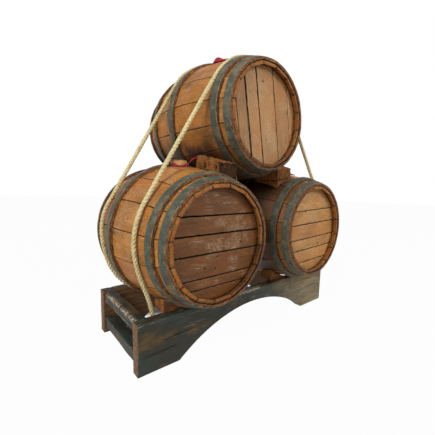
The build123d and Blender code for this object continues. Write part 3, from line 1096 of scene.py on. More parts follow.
class CASKRACK_OT_staves(bpy.types.Operator):
    """Build the staves of the three casks"""

    bl_idname = "caskrack.staves"
    bl_label = "Staves"

    def execute(self, context):
        settings = context.scene.cask_staves
        finish = oak_finish("stave_oak", settings.honey, settings.dark, settings.scuff, settings.grime, 0.6)
        for seed, (name, cask) in enumerate(CASKS.items()):
            draw = random.Random(100 + seed)
            rows = stave_rows(name, settings)
            main = bmesh.new()
            mesh_layers(main)
            for index in range(1, STAVE_COUNT):
                add_to(main, make_stave(name, index, rows, cask["scuffed"], settings, draw))
            stand_cask(main, name, cask["stave_turn"])
            # Painted shade on the staves' sides that look toward a neighbouring cask.
            paint_shade_on_sides(main, name, 0.55)
            piece = name + "_staves"
            finish_piece(main, piece + "_worn", "root", "stave_oak", finish, piece)

            bung_stave = make_stave(name, 0, rows, cask["scuffed"], settings, draw)
            bmesh.ops.recalc_face_normals(bung_stave, faces=bung_stave.faces)
            hole = bung_hole()
            stand_cask(bung_stave, name, cask["stave_turn"])
            stand_cask(hole, name, cask["stave_turn"])
            piece = name + "_bung_stave"
            dress(cut_away(bung_stave, hole), piece + "_worn", "root", "stave_oak", finish, piece)
        return {"FINISHED"}


# Hoops


def make_hoop(name, hoop, roundness, settings, draw):
    """One hoop: its section spun once round, bedded on the staves, with wandering edges and dents."""
    near, far = hoop_span(name, hoop)
    bm = bmesh.new()
    layers = mesh_layers(bm)

    def at(part, thickness):
        distance = near + (far - near) * part
        return (0, distance, barrel_radius(distance) + HOOP_PLAY + thickness)

    face_steps = 6
    face = [at(step / face_steps, HOOP_THICKNESS) for step in range(face_steps + 1)]
    points = [at(0, 0), *face, at(1, 0)]
    chain(bm, points, closed=True)
    spin(bm, (0, 1, 0), 160)
    bmesh.ops.remove_doubles(bm, verts=bm.verts, dist=1e-6)
    bmesh.ops.recalc_face_normals(bm, faces=bm.faces)
    rims = {round(points[1][1], 6), round(points[-2][1], 6)}
    outer = [
        edge
        for edge in bm.edges
        if abs(edge.verts[0].co.y - edge.verts[1].co.y) < 1e-7
        and round(edge.verts[0].co.y, 6) in rims
        and math.hypot(edge.verts[0].co.x, edge.verts[0].co.z) > barrel_radius(edge.verts[0].co.y) + 2 * MM
    ]
    break_edges(bm, outer, settings.edge_round, 2)

    half = math.pi / STAVE_COUNT
    stave_turn = math.radians(CASKS[name]["stave_turn"])
    seed, shift = own_grain(draw)
    for vert in bm.verts:
        x, distance, z = vert.co
        angle = math.atan2(x, z)
        radius = math.hypot(x, z)
        thickness = radius - barrel_radius(distance)
        round_place = Vector((math.sin(angle) * BILGE_RADIUS, math.cos(angle) * BILGE_RADIUS, 0))
        ridge_place = round_place * (1 + 8 * thickness / BILGE_RADIUS)
        vert[layers.grain] = Vector((ridge_place[0], distance, ridge_place[1])) + shift
        to_side = min(distance - near, far - distance)
        vert[layers.tone] = 1 - smooth_step(to_side, 0.3 * MM, 3 * MM)
        on_side = to_side < 0.15 * MM
        vert[layers.grime] = 1.0 if on_side or thickness < HOOP_THICKNESS / 2 else 0.0
        if thickness > HOOP_THICKNESS / 2:
            dent = smooth_step(rough(round_place + Vector((0, 0, distance)), 0.03, seed), 0.0, 0.7)
            radius -= settings.dents * dent
        else:
            from_middle = (angle - stave_turn + half) % (2 * half) - half
            radius = stave_back(stave_height(distance), from_middle, roundness) + HOOP_PLAY
        in_front = distance < (near + far) / 2
        stray = settings.wander * wander(round_place, 0.02, seed + (0 if in_front else 31))
        distance += abs(stray) * (1 if in_front else -1)
        vert.co = (radius * math.sin(angle), distance, radius * math.cos(angle))
    return bm


class CASKRACK_OT_hoops(bpy.types.Operator):
    """Build the iron hoops of the three casks"""

    bl_idname = "caskrack.hoops"
    bl_label = "Hoops"

    def execute(self, context):
        settings = context.scene.cask_hoops
        roundness = context.scene.cask_staves.roundness
        finish = iron_finish(settings)
        draw = random.Random(7)
        for name in CASKS:
            for hoop in HOOPS:
                bm = make_hoop(name, hoop, roundness, settings, draw)
                stand_cask(bm, name)
                # Painted shade on the hoops' sides that look toward a neighbouring cask.
                paint_shade_on_sides(bm, name, 0.3)
                node = f"{name}_{hoop}"
                finish_piece(bm, node + "_iron", "root", "hoop_iron", finish, node)
        return {"FINISHED"}


# Heads


def make_board(top, bottom, cell, face, settings, draw):
    """One head board, its front in the plane y 0: a sheet fitted to the round rim, made solid."""
    rim = stave_height(HEAD_RECESS, STAVE_THICKNESS - CROZE_DEPTH) - CROZE_PLAY
    bm = bmesh.new()
    layers = mesh_layers(bm)
    rows = max(6, round((top - bottom) / cell))
    bmesh.ops.create_grid(bm, x_segments=round(2 * rim / cell), y_segments=rows, size=1)
    for vert in bm.verts:
        height = bottom + (top - bottom) * (vert.co.y + 1) / 2
        reach = math.sqrt(max(rim**2 - height**2, (2 * MM) ** 2))
        vert.co = (vert.co.x * reach, 0, height)
    bmesh.ops.translate(bm, verts=thicken(bm), vec=(0, HEAD_TONGUE, 0))
    bmesh.ops.recalc_face_normals(bm, faces=bm.faces)
    edges = [
        edge
        for edge in bm.edges
        if all(vert.co.y < 0.1 * MM for vert in edge.verts)
        and any(all(abs(vert.co.z - level) < 1e-6 for vert in edge.verts) for level in (top, bottom))
    ]
    break_edges(bm, edges, settings.joint_wear)

    seed, shift = own_grain(draw)
    board_tone = draw.uniform(0.6, 1.0)
    tilt = draw.uniform(-0.4, 0.4) * MM
    lift = draw.uniform(0, 0.5) * MM
    for vert in bm.verts:
        x, y, z = vert.co
        to_edge = min(z - bottom, top - z)
        to_rim = rim - CROZE_DEPTH - math.hypot(x, z)
        at_joint = 1 - smooth_step(to_edge, 0.1 * MM, 0.9 * MM)
        at_rim = 1 - smooth_step(to_rim + 1.5 * MM * wander((x, z, seed), 0.012), 0.0, 4.5 * MM)
        vert[layers.grain] = Vector((z, x, y)) + shift
        vert[layers.tone] = board_tone
        vert[layers.grime] = 0.6
        if y < 0.6 * HEAD_TONGUE:
            beside_joint = 1 - smooth_step(to_edge, 0, 2.5 * MM)
            chip = smooth_step(wander((x, 0, seed + z), 0.014), 0.2, 0.6) * beside_joint
            y += lift + tilt * (z - bottom) / (top - bottom) + settings.warp * wander((x, z, seed), 0.04)
            y += 0.9 * MM * chip
            # Dark joints and chips, and painted shade round the rim, where the head sits in its recess.
            vert[layers.grime] = max(0.85 * at_joint, 0.8 * at_rim, 0.5 * chip)
            for mark_x, mark_z, reach in face["marks"]:
                aside, above = x - mark_x * MM, z - mark_z * MM
                away = math.hypot(aside, above) / (reach * MM)
                dent = 1 - smooth_step(away, 0.6, 1.3)
                y += 0.9 * MM * dent
                vert[layers.grime] = max(vert[layers.grime], 1.2 * dent)
                knot = math.exp(-((away * reach / 14) ** 2)) * min(1.0, reach / 2.4)
                vert[layers.grain] += Vector((1.1 * above * knot, 0.3 * aside * knot, 0))
            for spot_x, spot_z, reach in face["scuffs"]:
                away = math.hypot(x - spot_x * MM, (z - spot_z * MM) * 1.4) / (reach * MM)
                away += 0.9 * rough((x, z, seed), 0.014)
                vert[layers.pale] = max(vert[layers.pale], 1 - smooth_step(away, 0.3, 1.0))
        stray = 0.35 * MM * wander((x, 0, seed), 0.03) * at_joint
        vert.co = (x, y, z + stray)
    return bm


def make_head(face, cell, settings, draw):
    """All boards of a head, with its joints as wide as they have dried open."""
    rim = stave_height(HEAD_RECESS, STAVE_THICKNESS - CROZE_DEPTH) - CROZE_PLAY
    main = bmesh.new()
    mesh_layers(main)
    gaps = [(joint * MM, width * MM) for joint, width in zip(face["joints"], face["joint_widths"])]
    tops = [rim] + [level - width / 2 for level, width in gaps]
    bottoms = [level + width / 2 for level, width in gaps] + [-rim]
    for top, bottom in zip(tops, bottoms):
        add_to(main, make_board(top, bottom, cell, face, settings, draw))
    return main


class CASKRACK_OT_heads(bpy.types.Operator):
    """Build the head boards at both ends of the three casks"""

    bl_idname = "caskrack.heads"
    bl_label = "Heads"

    def execute(self, context):
        settings = context.scene.cask_heads
        staves = context.scene.cask_staves

        def finish_for(name, clean, dark, *look):
            return oak_finish("head_oak_" + name, clean, dark, staves.scuff, staves.grime, *look)

        back_finish = finish_for("back", settings.back_shade, staves.dark, 0.4)
        for seed, (name, cask) in enumerate(CASKS.items()):
            clean = getattr(settings, name + "_shade")
            front_finish = finish_for(name, clean, shade(clean, 0.25), 0.8, cask["streaky"])
            front = make_head(cask, 1.6 * MM, settings, random.Random(40 + seed))
            move(front, (0, HEAD_RECESS, 0))
            stand_cask(front, name, cask["board_turn"])
            back = make_head(BACK_FACE, 3 * MM, settings, random.Random(60 + seed))
            bmesh.ops.scale(back, verts=back.verts, vec=(1, -1, 1))
            bmesh.ops.reverse_faces(back, faces=back.faces)
            move(back, (0, CASK_LENGTH - HEAD_RECESS, 0))
            stand_cask(back, name)
            for side, head, finish in (("front", front, front_finish), ("back", back, back_finish)):
                node = f"{name}_{side}_head"
                finish_piece(head, node + "_boards", "root", "head_oak", finish, node)
        return {"FINISHED"}


# Stand


RAIL_EDGE_WEAR = 0.84


def arch_height(x):
    """Height of a rail's lower side: one long arch between its two feet."""
    middle, half_span, rise = -5 * MM, 165 * MM, 56 * MM
    drop = (half_span**2 - rise**2) / (2 * rise)
    offset = abs(x - middle)
    if offset >= half_span:
        return 0.0
    return math.sqrt((drop + rise) ** 2 - offset**2) - drop


def mark_wood(bm, seed):
    """Store where each vertex lies in the board's grain."""
    layers = mesh_layers(bm)
    for vert in bm.verts:
        vert[layers.grain] = vert.co + Vector((seed, 2 * seed, 3 * seed))


def crack(start, end, face_y, inward, depth, width, seed):
    """A thin wedge that follows a wandering line, to cut a drying crack into a rail's face."""
    bm = bmesh.new()
    layers = mesh_layers(bm)
    bmesh.ops.create_grid(bm, x_segments=24, y_segments=1, size=1)
    for vert in thicken(bm):
        vert.co.z = 1
    for vert in bm.verts:
        part = (vert.co.x + 1) / 2
        side = vert.co.y
        deep = vert.co.z
        x = start[0] + (end[0] - start[0]) * part
        z = start[1] + (end[1] - start[1]) * part
        z += 1.2 * MM * wander((x, 0, 0), 0.016, seed) + 0.5 * MM * wander((x, 0, 0), 0.005, seed)
        open_here = math.sin(math.pi * min(1, max(0.02, part))) ** 0.6
        open_here *= 0.75 + 0.45 * wander((x, 0, 0), 0.01, seed + 5)
        z += side * width / 2 * open_here * (1 - 0.9 * deep)
        y = face_y + inward * (-0.5 * MM + (depth * (0.4 + 0.6 * open_here) + 0.5 * MM) * deep)
        vert.co = (x, y, z)
        # Painted shade inside the crack.
        vert[layers.grime] = 1.0
    bmesh.ops.recalc_face_normals(bm, faces=bm.faces)
    return bm


def rail_top(top, casks, x, y):
    """Height of a rail's upper side, where the casks that lie in its shallow hollows leave it."""
    for place in casks:
        seat = barrel_radius(y - place.y) + HOOP_THICKNESS + HOOP_PLAY + SEAT_PLAY
        aside = abs(x - place.x)
        if aside < seat:
            top = min(top, place.z - math.sqrt(seat**2 - aside**2))
    return top


def make_rail(node, settings, seed):
    """A rail: a sheet between the arch and the top, made solid, with its edges worn round."""
    low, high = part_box(node)
    thickness = high.y - low.y
    casks = [cask_place(name) for name in ("left", "right")] if node == "back_rail" else []
    bm = bmesh.new()
    layers = mesh_layers(bm)
    bmesh.ops.create_grid(bm, x_segments=192, y_segments=20, size=1)
    for vert in bm.verts:
        x = low.x + (high.x - low.x) * (vert.co.x + 1) / 2
        bottom = arch_height(x)
        vert.co = (x, low.y, bottom + (rail_top(high.z, casks, x, low.y) - bottom) * (vert.co.y + 1) / 2)
    for vert in thicken(bm):
        x, y, z = vert.co
        bottom = arch_height(x)
        part = (z - bottom) / (rail_top(high.z, casks, x, y) - bottom)
        vert.co = (x, y + thickness, bottom + (rail_top(high.z, casks, x, y + thickness) - bottom) * part)
    bmesh.ops.recalc_face_normals(bm, faces=bm.faces)
    break_edges(bm, sharp_edges(bm), settings.edge_round, 3)
    for vert in bm.verts:
        x, y, z = vert.co
        at_end = min(x - low.x, high.x - x)
        to_inner = y - low.y if node == "back_rail" else high.y - y
        raw = 0.75 * (1 - smooth_step(to_inner, 0.2 * MM, 2 * MM))
        vert[layers.tone] = max(raw, 1 - smooth_step(at_end, 0.2 * MM, 1.6 * MM))
        # A painted highlight along the front rail's top edge over its crown, and a paler top edge toward
        # the right end.
        on_top = smooth_step(z, high.z - 5 * MM, high.z - 1 * MM)
        on_top *= smooth_step(high.y - y, 0.4 * thickness, thickness)
        crown = smooth_step(x, -60 * MM, -45 * MM) * (1 - smooth_step(x, 5 * MM, 18 * MM))
        right_end = 0.35 * smooth_step(x, 190 * MM, 230 * MM)
        vert[layers.pale] = on_top * max(crown if node == "front_rail" else 0.0, right_end)
        vert[layers.wear] *= RAIL_EDGE_WEAR
        hollow = 0.5 * MM * (1 + wander((x, z, seed), 0.05))
        hollow += 0.25 * MM * (1 + rough((x, 3 * z, seed), 0.012))
        inward = smooth_step(y, low.y, low.y + 2 * MM) - smooth_step(y, high.y - 2 * MM, high.y)
        facing = 1 if y < (low.y + high.y) / 2 else -1
        y += facing * (1 - abs(inward)) * 0.5 * hollow
        chip = smooth_step(rough((x, 5 * y, z), 0.014, seed + 3), 0.12, 0.5) * min(1.0, vert[layers.wear])
        z -= chip * 1.5 * MM * smooth_step(z, high.z - 6 * MM, high.z)
        if at_end < 2 * MM:
            x += math.copysign(0.4 * MM * abs(wander((0, y, z), 0.01, seed)), -x)
        vert.co = (x, y, z)
    return bm


FRONT_CRACKS = (  # each from (x, z) to (x, z), in metres
    ((-0.232, 0.0275), (-0.174, 0.0290)),
    ((-0.204, 0.0440), (-0.122, 0.0485)),
    ((0.150, 0.0660), (0.232, 0.0640)),
    ((0.173, 0.0445), (0.230, 0.0430)),
)
BACK_CRACKS = (
    ((-0.225, 0.0520), (-0.150, 0.0490)),
    ((0.140, 0.0590), (0.222, 0.0630)),
)


def rung_mesh(node, settings, seed, chipped):
    """A rung between the rails' inner faces, with broken edges; an upper one is chipped outside."""
    low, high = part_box(node)
    middle = (low + high) / 2
    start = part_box("front_rail")[1].y
    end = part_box("back_rail")[0].y
    bm = bmesh.new()
    layers = mesh_layers(bm)
    bmesh.ops.create_cube(bm, size=1)
    span = Vector((high.x - low.x, end - start, high.z - low.z))
    bmesh.ops.scale(bm, verts=bm.verts, vec=span)
    move(bm, (middle.x, (start + end) / 2, middle.z))
    along = [edge for edge in bm.edges if abs(edge.verts[0].co.y - edge.verts[1].co.y) > 0.5 * span.y]
    bmesh.ops.subdivide_edges(bm, edges=along, cuts=72, use_grid_fill=True)

    def lies_across(edge):
        return abs(edge.verts[0].co.y - edge.verts[1].co.y) < 1e-6

    across = [edge for edge in bm.edges if lies_across(edge)]
    bmesh.ops.subdivide_edges(bm, edges=across, cuts=6, use_grid_fill=True)
    bmesh.ops.recalc_face_normals(bm, faces=bm.faces)
    long_edges = [edge for edge in sharp_edges(bm) if not lies_across(edge)]
    break_edges(bm, long_edges, settings.edge_round, 3)
    outward = math.copysign(1, middle.x)
    for vert in bm.verts:
        x, y, z = vert.co
        worn = 0.35 * MM * (1 + rough((x, 0.3 * y, z), 0.01, seed))
        x -= math.copysign(worn, x - middle.x)
        z -= math.copysign(worn, z - middle.z)
        outer_side = max(abs(low.x), abs(high.x))
        outer_top = smooth_step(outward * x, outward * middle.x + 2 * MM, outer_side)
        outer_top *= smooth_step(z, high.z - 7 * MM, high.z)
        chip = smooth_step(rough((0, y, 0), 0.016, seed + 9), -0.75, 0.3) if chipped else 0
        z -= 3.2 * MM * chip * outer_top
        x -= outward * 1.6 * MM * chip * outer_top
        vert[layers.wear] *= RAIL_EDGE_WEAR
        # Pale chipped wood along an upper rung's outer top edge, partly a painted highlight.
        if chipped:
            vert[layers.pale] = min(1.0, 1.3 * chip * outer_top)
        vert.co = (x, y, z)
    for vert in bm.verts:
        vert[layers.grain] = Vector((vert.co.y, vert.co.x, vert.co.z)) + Vector((seed, 2 * seed, 3 * seed))
    return bm


class CASKRACK_OT_stand(bpy.types.Operator):
    """Build the stand's two arched rails and four rungs"""

    bl_idname = "caskrack.stand"
    bl_label = "Stand"

    def execute(self, context):
        settings = context.scene.cask_stand
        finish = stand_finish(settings)
        for seed, (node, cracks) in enumerate((("front_rail", FRONT_CRACKS), ("back_rail", BACK_CRACKS))):
            low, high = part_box(node)
            rail = make_rail(node, settings, 3 + seed)
            mark_wood(rail, 3 + seed)
            face_y, inward = (low.y, 1) if node == "front_rail" else (high.y, -1)
            cutters = bmesh.new()
            mesh_layers(cutters)
            for number, (start, end) in enumerate(cracks):
                wedge = crack(start, end, face_y, inward, settings.crack_depth, 2.4 * MM, number + 0.5)
                add_to(cutters, wedge)
            dress(cut_away(rail, cutters), node + "_worn", "root", "stand_wood", finish, node)
        rungs = [f"{side}_{level}_rung" for level in ("upper", "lower") for side in ("left", "right")]
        for seed, rung in enumerate(rungs):
            bm = rung_mesh(rung, settings, 11 + seed, "upper" in rung)
            finish_piece(bm, rung + "_worn", "root", "stand_wood", finish, rung)
        return {"FINISHED"}


# Chocks and cradle blocks


def split_block(node, finish, cell, depth, seed, painted_front_shade=0.0, split_at=None):
    """A node's blocks as split wood: an even skin over the CAD shape, pushed in along its fibres."""
    bm = bmesh.new()
    bm.from_mesh(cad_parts[node].data)
    bmesh.ops.remove_doubles(bm, verts=bm.verts, dist=1e-6)
    work = loose_object(bm)
    skin = work.modifiers.new("skin", "REMESH")
    skin.mode = "VOXEL"
    skin.voxel_size = cell
    bm = as_bmesh(baked(work))
    layers = mesh_layers(bm)
    bm.normal_update()
    moves = []
    for vert in bm.verts:
        x, y, z = vert.co
        normal = vert.normal
        coarse = 1.0 if x < 0 else 0.45
        ends = max(abs(normal.x), abs(normal.y))
        fibres = rough((x + 0.2 * z, y, 0.3 * z), 0.0042, seed)
        lumps = rough((x, y, z), 0.014, seed + 4)
        corner = 1 - max(ends, abs(normal.z))
        pits = smooth_step(0.55 * fibres + 0.6 * lumps, -0.05, 0.5) * (ends + corner) * coarse
        # Painted shade on the front faces, strongest on the left blocks; the left cradle block is also
        # darker overall.
        front = smooth_step(-normal.y, 0.35, 0.85)
        vert[layers.tone] = 1 - painted_front_shade * front * coarse - (0.3 if x < 0 and split_at else 0.0)
        if split_at and x > 0:
            layer = split_at + 4 * MM * (x - 76 * MM) / (22 * MM)
            layer += 0.8 * MM * wander((x, y, 0), 0.012, seed)
            pits = max(pits, 1 - smooth_step(abs(z - layer), 0.3 * MM, 1.3 * MM))
        # The pits and the split line carry painted shade.
        vert[layers.grime] = pits
        push = pits + 0.35 * (1 + fibres) * (0.3 + ends) + 2.2 * corner * (0.7 + lumps) * coarse
        moves.append(-normal * max(0.0, 0.6 * depth * push))
    for vert, move in zip(bm.verts, moves):
        vert.co += move
    mark_wood(bm, seed)
    return finish_piece(bm, node + "_split", "root", "block_wood", finish, node, smooth=50)


class CASKRACK_OT_blocks(bpy.types.Operator):
    """Build the chocks and the cradle blocks of raw split wood"""

    bl_idname = "caskrack.blocks"
    bl_label = "Chocks and cradle blocks"

    def execute(self, context):
        finish = split_wood_finish(context.scene.cask_stand)
        split_block("front_cradle_blocks", finish, 1.1 * MM, 4.8 * MM, 2, 1.0, 294 * MM)
        split_block("back_cradle_blocks", finish, 1.6 * MM, 2.2 * MM, 5)
        split_block("front_chocks", finish, 1.2 * MM, 1.6 * MM, 8, 0.6)
        split_block("back_chocks", finish, 1.6 * MM, 1.6 * MM, 9)
        return {"FINISHED"}


# Ropes


def rope_line(name, spacing):
    """Even points along a lashing's smooth line, read from its NURBS spline."""
    curve = bpy.data.curves.new(name + "_line", "CURVE")
    curve.dimensions = "3D"
    curve.resolution_u = 32
    spline = curve.splines.new("NURBS")
    route = ROPE_ROUTES[name]
    spline.points.add(len(route) - 1)
    for point, place in zip(spline.points, route):
        point.co = (*place, 1.0)
    spline.order_u = 3
    spline.use_endpoint_u = True
    carrier = bpy.data.objects.new(name + "_line", curve)
    mesh = bpy.data.meshes.new_from_object(carrier)
    points = [vert.co.copy() for vert in mesh.vertices]
    bpy.data.objects.remove(carrier)
    bpy.data.curves.remove(curve)
    bpy.data.meshes.remove(mesh)
    return even_points(points, spacing)


def even_points(points, spacing):
    """Points at an even spacing along a line of points."""
    lengths = [(second - first).length for first, second in zip(points, points[1:])]
    total = sum(lengths)
    count = round(total / spacing)
    made = []
    index = 0
    passed = 0.0
    for step in range(count + 1):
        target = total * step / count
        while index < len(lengths) - 1 and passed + lengths[index] < target:
            passed += lengths[index]
            index += 1
        part = (target - passed) / lengths[index]
        made.append(points[index].lerp(points[index + 1], min(1.0, part)))
    return made


def frames_along(points):
    """Two directions square to the line at each point, carried along it without twist."""
    side = Vector((0, 1, 0))
    frames = []
    for index in range(len(points)):
        ahead = points[min(index + 1, len(points) - 1)] - points[max(index - 1, 0)]
        ahead.normalize()
        side = (side - ahead * side.dot(ahead)).normalized()
        frames.append((side, ahead.cross(side)))
    return frames


def strand_lines(points, spacing, settings, seed):
    """The three strands' centre lines, wound round the rope's line, a little uneven."""
    frames = frames_along(points)
    lines = []
    for strand in range(3):
        line = []
        for index, (point, (side, other)) in enumerate(zip(points, frames)):
            run = index * spacing
            angle = 2 * math.pi * (run / settings.lay_length + strand / 3)
            angle += 0.25 * wander((run, 0, 0), 0.03, seed)
            out = STRAND_ORBIT * (1 + 0.1 * wander((run, strand, 0), 0.02, seed))
            line.append(point + out * (math.cos(angle) * side + math.sin(angle) * other))
        lines.append(line)
    return lines


def tube_curve(name, lines, radius, sides=8, radii=None):
    """A round tube along each line, as one curve."""
    curve = bpy.data.curves.new(name, "CURVE")
    curve.dimensions = "3D"
    curve.bevel_depth = radius
    curve.bevel_resolution = (sides - 4) // 2
    curve.use_fill_caps = True
    for number, line in enumerate(lines):
        spline = curve.splines.new("POLY")
        spline.points.add(len(line) - 1)
        for index, (point, place) in enumerate(zip(spline.points, line)):
            point.co = (*place, 1.0)
            if radii is not None:
                point.radius = radii[number][index]
    return curve


def curve_mesh(curve):
    """The curve's mesh with its caps joined on; the curve is removed."""
    carrier = bpy.data.objects.new(curve.name, curve)
    mesh = bpy.data.meshes.new_from_object(carrier)
    bpy.data.objects.remove(carrier)
    bpy.data.curves.remove(curve)
    return mesh


def rope_mesh(name, points, lines, settings, seed):
    """The twisted rope, with each vertex's place round and along its strand."""

    def radius_at(index, strand):
        return 1 + 0.09 * wander((index * settings.ring_spacing, strand, 0), 0.012, seed)

    radii = [[radius_at(index, strand) for index in range(len(line))] for strand, line in enumerate(lines)]
    bm = as_bmesh(curve_mesh(tube_curve(name, lines, STRAND_RADIUS, 10, radii)))
    bmesh.ops.remove_doubles(bm, verts=bm.verts, dist=1e-6)
    layers = mesh_layers(bm)
    uv = bm.loops.layers.uv.active
    length = ROPE_LENGTHS[name]
    for face in bm.faces:
        for loop in face.loops:
            along, around = loop[uv].uv
            girth = around * 2 * math.pi * STRAND_RADIUS
            loop.vert[layers.grain] = Vector((girth + 0.35 * along * length, along * length, 0))
    tree = KDTree(len(points))
    for index, point in enumerate(points):
        tree.insert(point, index)
    tree.balance()
    for vert in bm.verts:
        _, _, away = tree.find(vert.co)
        # Painted shade near the rope's core, where the strands meet.
        vert[layers.grime] = 1 - smooth_step(away, 0.4 * ROPE_RADIUS, 0.8 * ROPE_RADIUS)
    return bm


def stray_fibre_lines(points, count, draw):
    """Short loose fibres that stand off the rope, and a frayed tuft at each of its ends."""
    frames = frames_along(points)
    lines = []
    for _ in range(count):
        index = draw.randrange(2, len(points) - 2)
        side, other = frames[index]
        ahead = (points[index + 1] - points[index - 1]).normalized()
        angle = draw.uniform(0, 2 * math.pi)
        out = math.cos(angle) * side + math.sin(angle) * other
        slant = draw.choice((-1, 1)) * draw.uniform(0.4, 1.4)
        start = points[index] + 0.8 * ROPE_RADIUS * out
        reach = draw.uniform(2.0, 5.5) * MM
        curl = draw.uniform(-1, 1) * ahead.cross(out)
        line = []
        for t in (0, 0.35, 0.7, 1):
            way = out * t * (1.1 - 0.6 * t) + ahead * slant * t + 0.5 * curl * t * t
            line.append(start + way * reach * 0.7)
        lines.append(line)
    for end, toward in ((points[0], points[0] - points[2]), (points[-1], points[-1] - points[-3])):
        toward = toward.normalized()
        for _ in range(60):
            spread = Vector((draw.uniform(-1, 1), draw.uniform(-1, 1), draw.uniform(-0.2, 0.2)))
            start = end + spread * 0.6 * ROPE_RADIUS - toward * 2 * MM
            reach = draw.uniform(5, 12) * MM
            line = [start + toward * reach * t + spread * 4.5 * MM * t * t for t in (0, 0.4, 0.75, 1)]
            lines.append(line)
    return lines


class CASKRACK_OT_ropes(bpy.types.Operator):
    """Lay the two rope lashings over the stack"""

    bl_idname = "caskrack.ropes"
    bl_label = "Ropes"

    def execute(self, context):
        settings = context.scene.cask_rope
        finish = rope_finish(settings)
        for seed, name in enumerate(ROPE_ROUTES):
            draw = random.Random(20 + seed)
            points = rope_line(name, settings.ring_spacing)
            lines = strand_lines(points, settings.ring_spacing, settings, seed + 0.5)
            rope = rope_mesh(name, points, lines, settings, seed + 0.5)
            rope = finish_piece(rope, name + "_twisted", "root", "rope_fibre", finish, name, smooth=60)
            lines = stray_fibre_lines(points, settings.stray_fibres, draw)
            loose = curve_mesh(tube_curve(name + "_fibres", lines, 0.13 * MM, 4))
            fibres = dress(loose, name + "_fibres", "root", "rope_fibre", finish, smooth=60)
        return {"FINISHED"}


# Bungs and their cloths


def bung_top():
    """Height of a bung's top over the cask's axis."""
    return stave_height(BUNG_FROM_FRONT) + BUNG_STAND_OUT


def make_bung(draw):
    """A tapered bung: its side view spun once round, with a broken edge and a rough sawn top."""
    top, length = bung_top(), BUNG_LENGTH
    edge = 0.9 * MM
    side = [(BUNG_TIP_RADIUS - edge, 0), (BUNG_TIP_RADIUS, edge)]
    widening = BUNG_TOP_RADIUS - BUNG_TIP_RADIUS
    side += [(BUNG_TIP_RADIUS + widening * t / 8, length * t / 8) for t in range(1, 8)]
    side += [(BUNG_TOP_RADIUS, length - edge), (BUNG_TOP_RADIUS - edge, length)]
    side += [(radius * MM, length) for radius in (9, 7, 5, 3, 1.2)]
    points = [(radius, BUNG_FROM_FRONT, top - length + height) for radius, height in side]
    bm = turned(points, (0, 0, 1), centre=(0, BUNG_FROM_FRONT, 0))
    layers = mesh_layers(bm)
    seed = draw.uniform(0, 50)
    for vert in bm.verts:
        x, y, z = vert.co
        if z > top - 2 * MM:
            ridges = rough((0.3 * x, 2.2 * y, seed), 0.004, seed)
            dips = smooth_step(wander((x, y, 0), 0.008, seed), 0.1, 0.6)
            vert.co.z -= 0.5 * MM * abs(ridges) + 0.5 * MM * dips
        outward = Vector((x, y - BUNG_FROM_FRONT, 0))
        vert.co -= outward.normalized() * 0.15 * MM * abs(rough((x, y, 0.3 * z), 0.005, seed))
        vert[layers.grain] = vert.co.copy()
    return bm


# Bung cloths: the size of the strip and the area of its cut, then its course round the bung as
# stations in millimetres: direction in degrees, foot's height, rise, foot's and brim's distances
# from the bung's middle, and how far the brim flops over, from 0 to 1
CLOTHS = {
    "left": {
        "flat": (0.016, 0.118),
        "area": 0.00095,
        "course": (
            (323, 18.5, 0.7, 31.5, 31.9, 0),
            (321, 15, 2.4, 25, 25.6, 0),
            (318, 11, 3.4, 19.6, 20.4, 0),
            (305, 6.2, 3.6, 16, 17.2, 0),
            (280, 2.0, 3.6, 14.8, 16.4, 0),
            (250, 0.5, 3.6, 14.8, 16.6, 0),
            (222, 0.5, 4.2, 14.2, 16.2, 0.1),
            (190, 0.5, 7, 13.2, 16.4, 0.2),
            (160, 0.5, 10.5, 12.9, 18.4, 0.35),
            (138, 0.5, 11.5, 12.9, 19.2, 0.4),
            (110, 0.6, 10.5, 12.9, 16, 0.3),
            (78, 0.8, 9, 12.9, 15.4, 0.2),
            (40, 1.0, 8, 12.9, 15, 0.2),
            (5, 1.2, 7, 13, 14.8, 0.2),
            (-30, 2.0, 5.2, 13, 14.2, 0.1),
            (-60, 3.0, 3.6, 12.8, 13.6, 0),
        ),
    },
    "right": {
        "flat": (0.016, 0.122),
        "area": 0.00095,
        "course": (
            (318, 4.2, 1.4, 44, 45, 0),
            (320, 2.2, 3.6, 34, 35.4, 0),
            (321, 2.0, 4.2, 25, 26.4, 0),
            (320, 2.4, 4.4, 18, 19.2, 0),
            (300, 1.2, 4.8, 15, 16.4, 0.1),
            (270, 0.6, 5, 14, 16, 0.2),
            (235, 0.6, 6, 13.4, 16, 0.3),
            (195, 0.6, 7.5, 13, 15.8, 0.3),
            (155, 0.6, 8.5, 13, 15.8, 0.3),
            (115, 0.8, 8.5, 12.9, 15.6, 0.3),
            (75, 0.8, 7.5, 12.9, 15.4, 0.2),
            (35, 0.6, 6.5, 13, 15.4, 0.2),
            (0, 0.8, 5, 13.2, 15, 0.1),
            (-35, 2.0, 4, 12.9, 14, 0),
            (-60, 3.0, 3, 12.8, 13.4, 0),
        ),
    },
    "upper": {
        "flat": (0.024, 0.122),
        "area": 0.00145,
        "course": (
            (326, 8, 0.8, 22, 22.4, 0),
            (323, 5.5, 3.4, 18, 18.8, 0),
            (315, 3, 4.6, 15, 16, 0),
            (285, 1.0, 4.2, 14.2, 15.6, 0),
            (252, 0.5, 4.4, 14, 16, 0.1),
            (222, 0.5, 6.5, 13.4, 17.5, 0.4),
            (192, 0.4, 10, 13, 22.5, 0.75),
            (168, 0.3, 12.5, 13, 27.5, 0.9),
            (150, 0.3, 13, 13, 29.5, 0.95),
            (132, 0.4, 12.5, 13, 22, 0.8),
            (105, 0.6, 11, 13, 16.6, 0.4),
            (70, 0.8, 9, 12.9, 16, 0.3),
            (30, 1.0, 8, 12.9, 15.4, 0.2),
            (-10, 1.2, 6.6, 13, 14.8, 0.1),
            (-45, 2.0, 4.6, 12.8, 13.8, 0),
        ),
    },
}


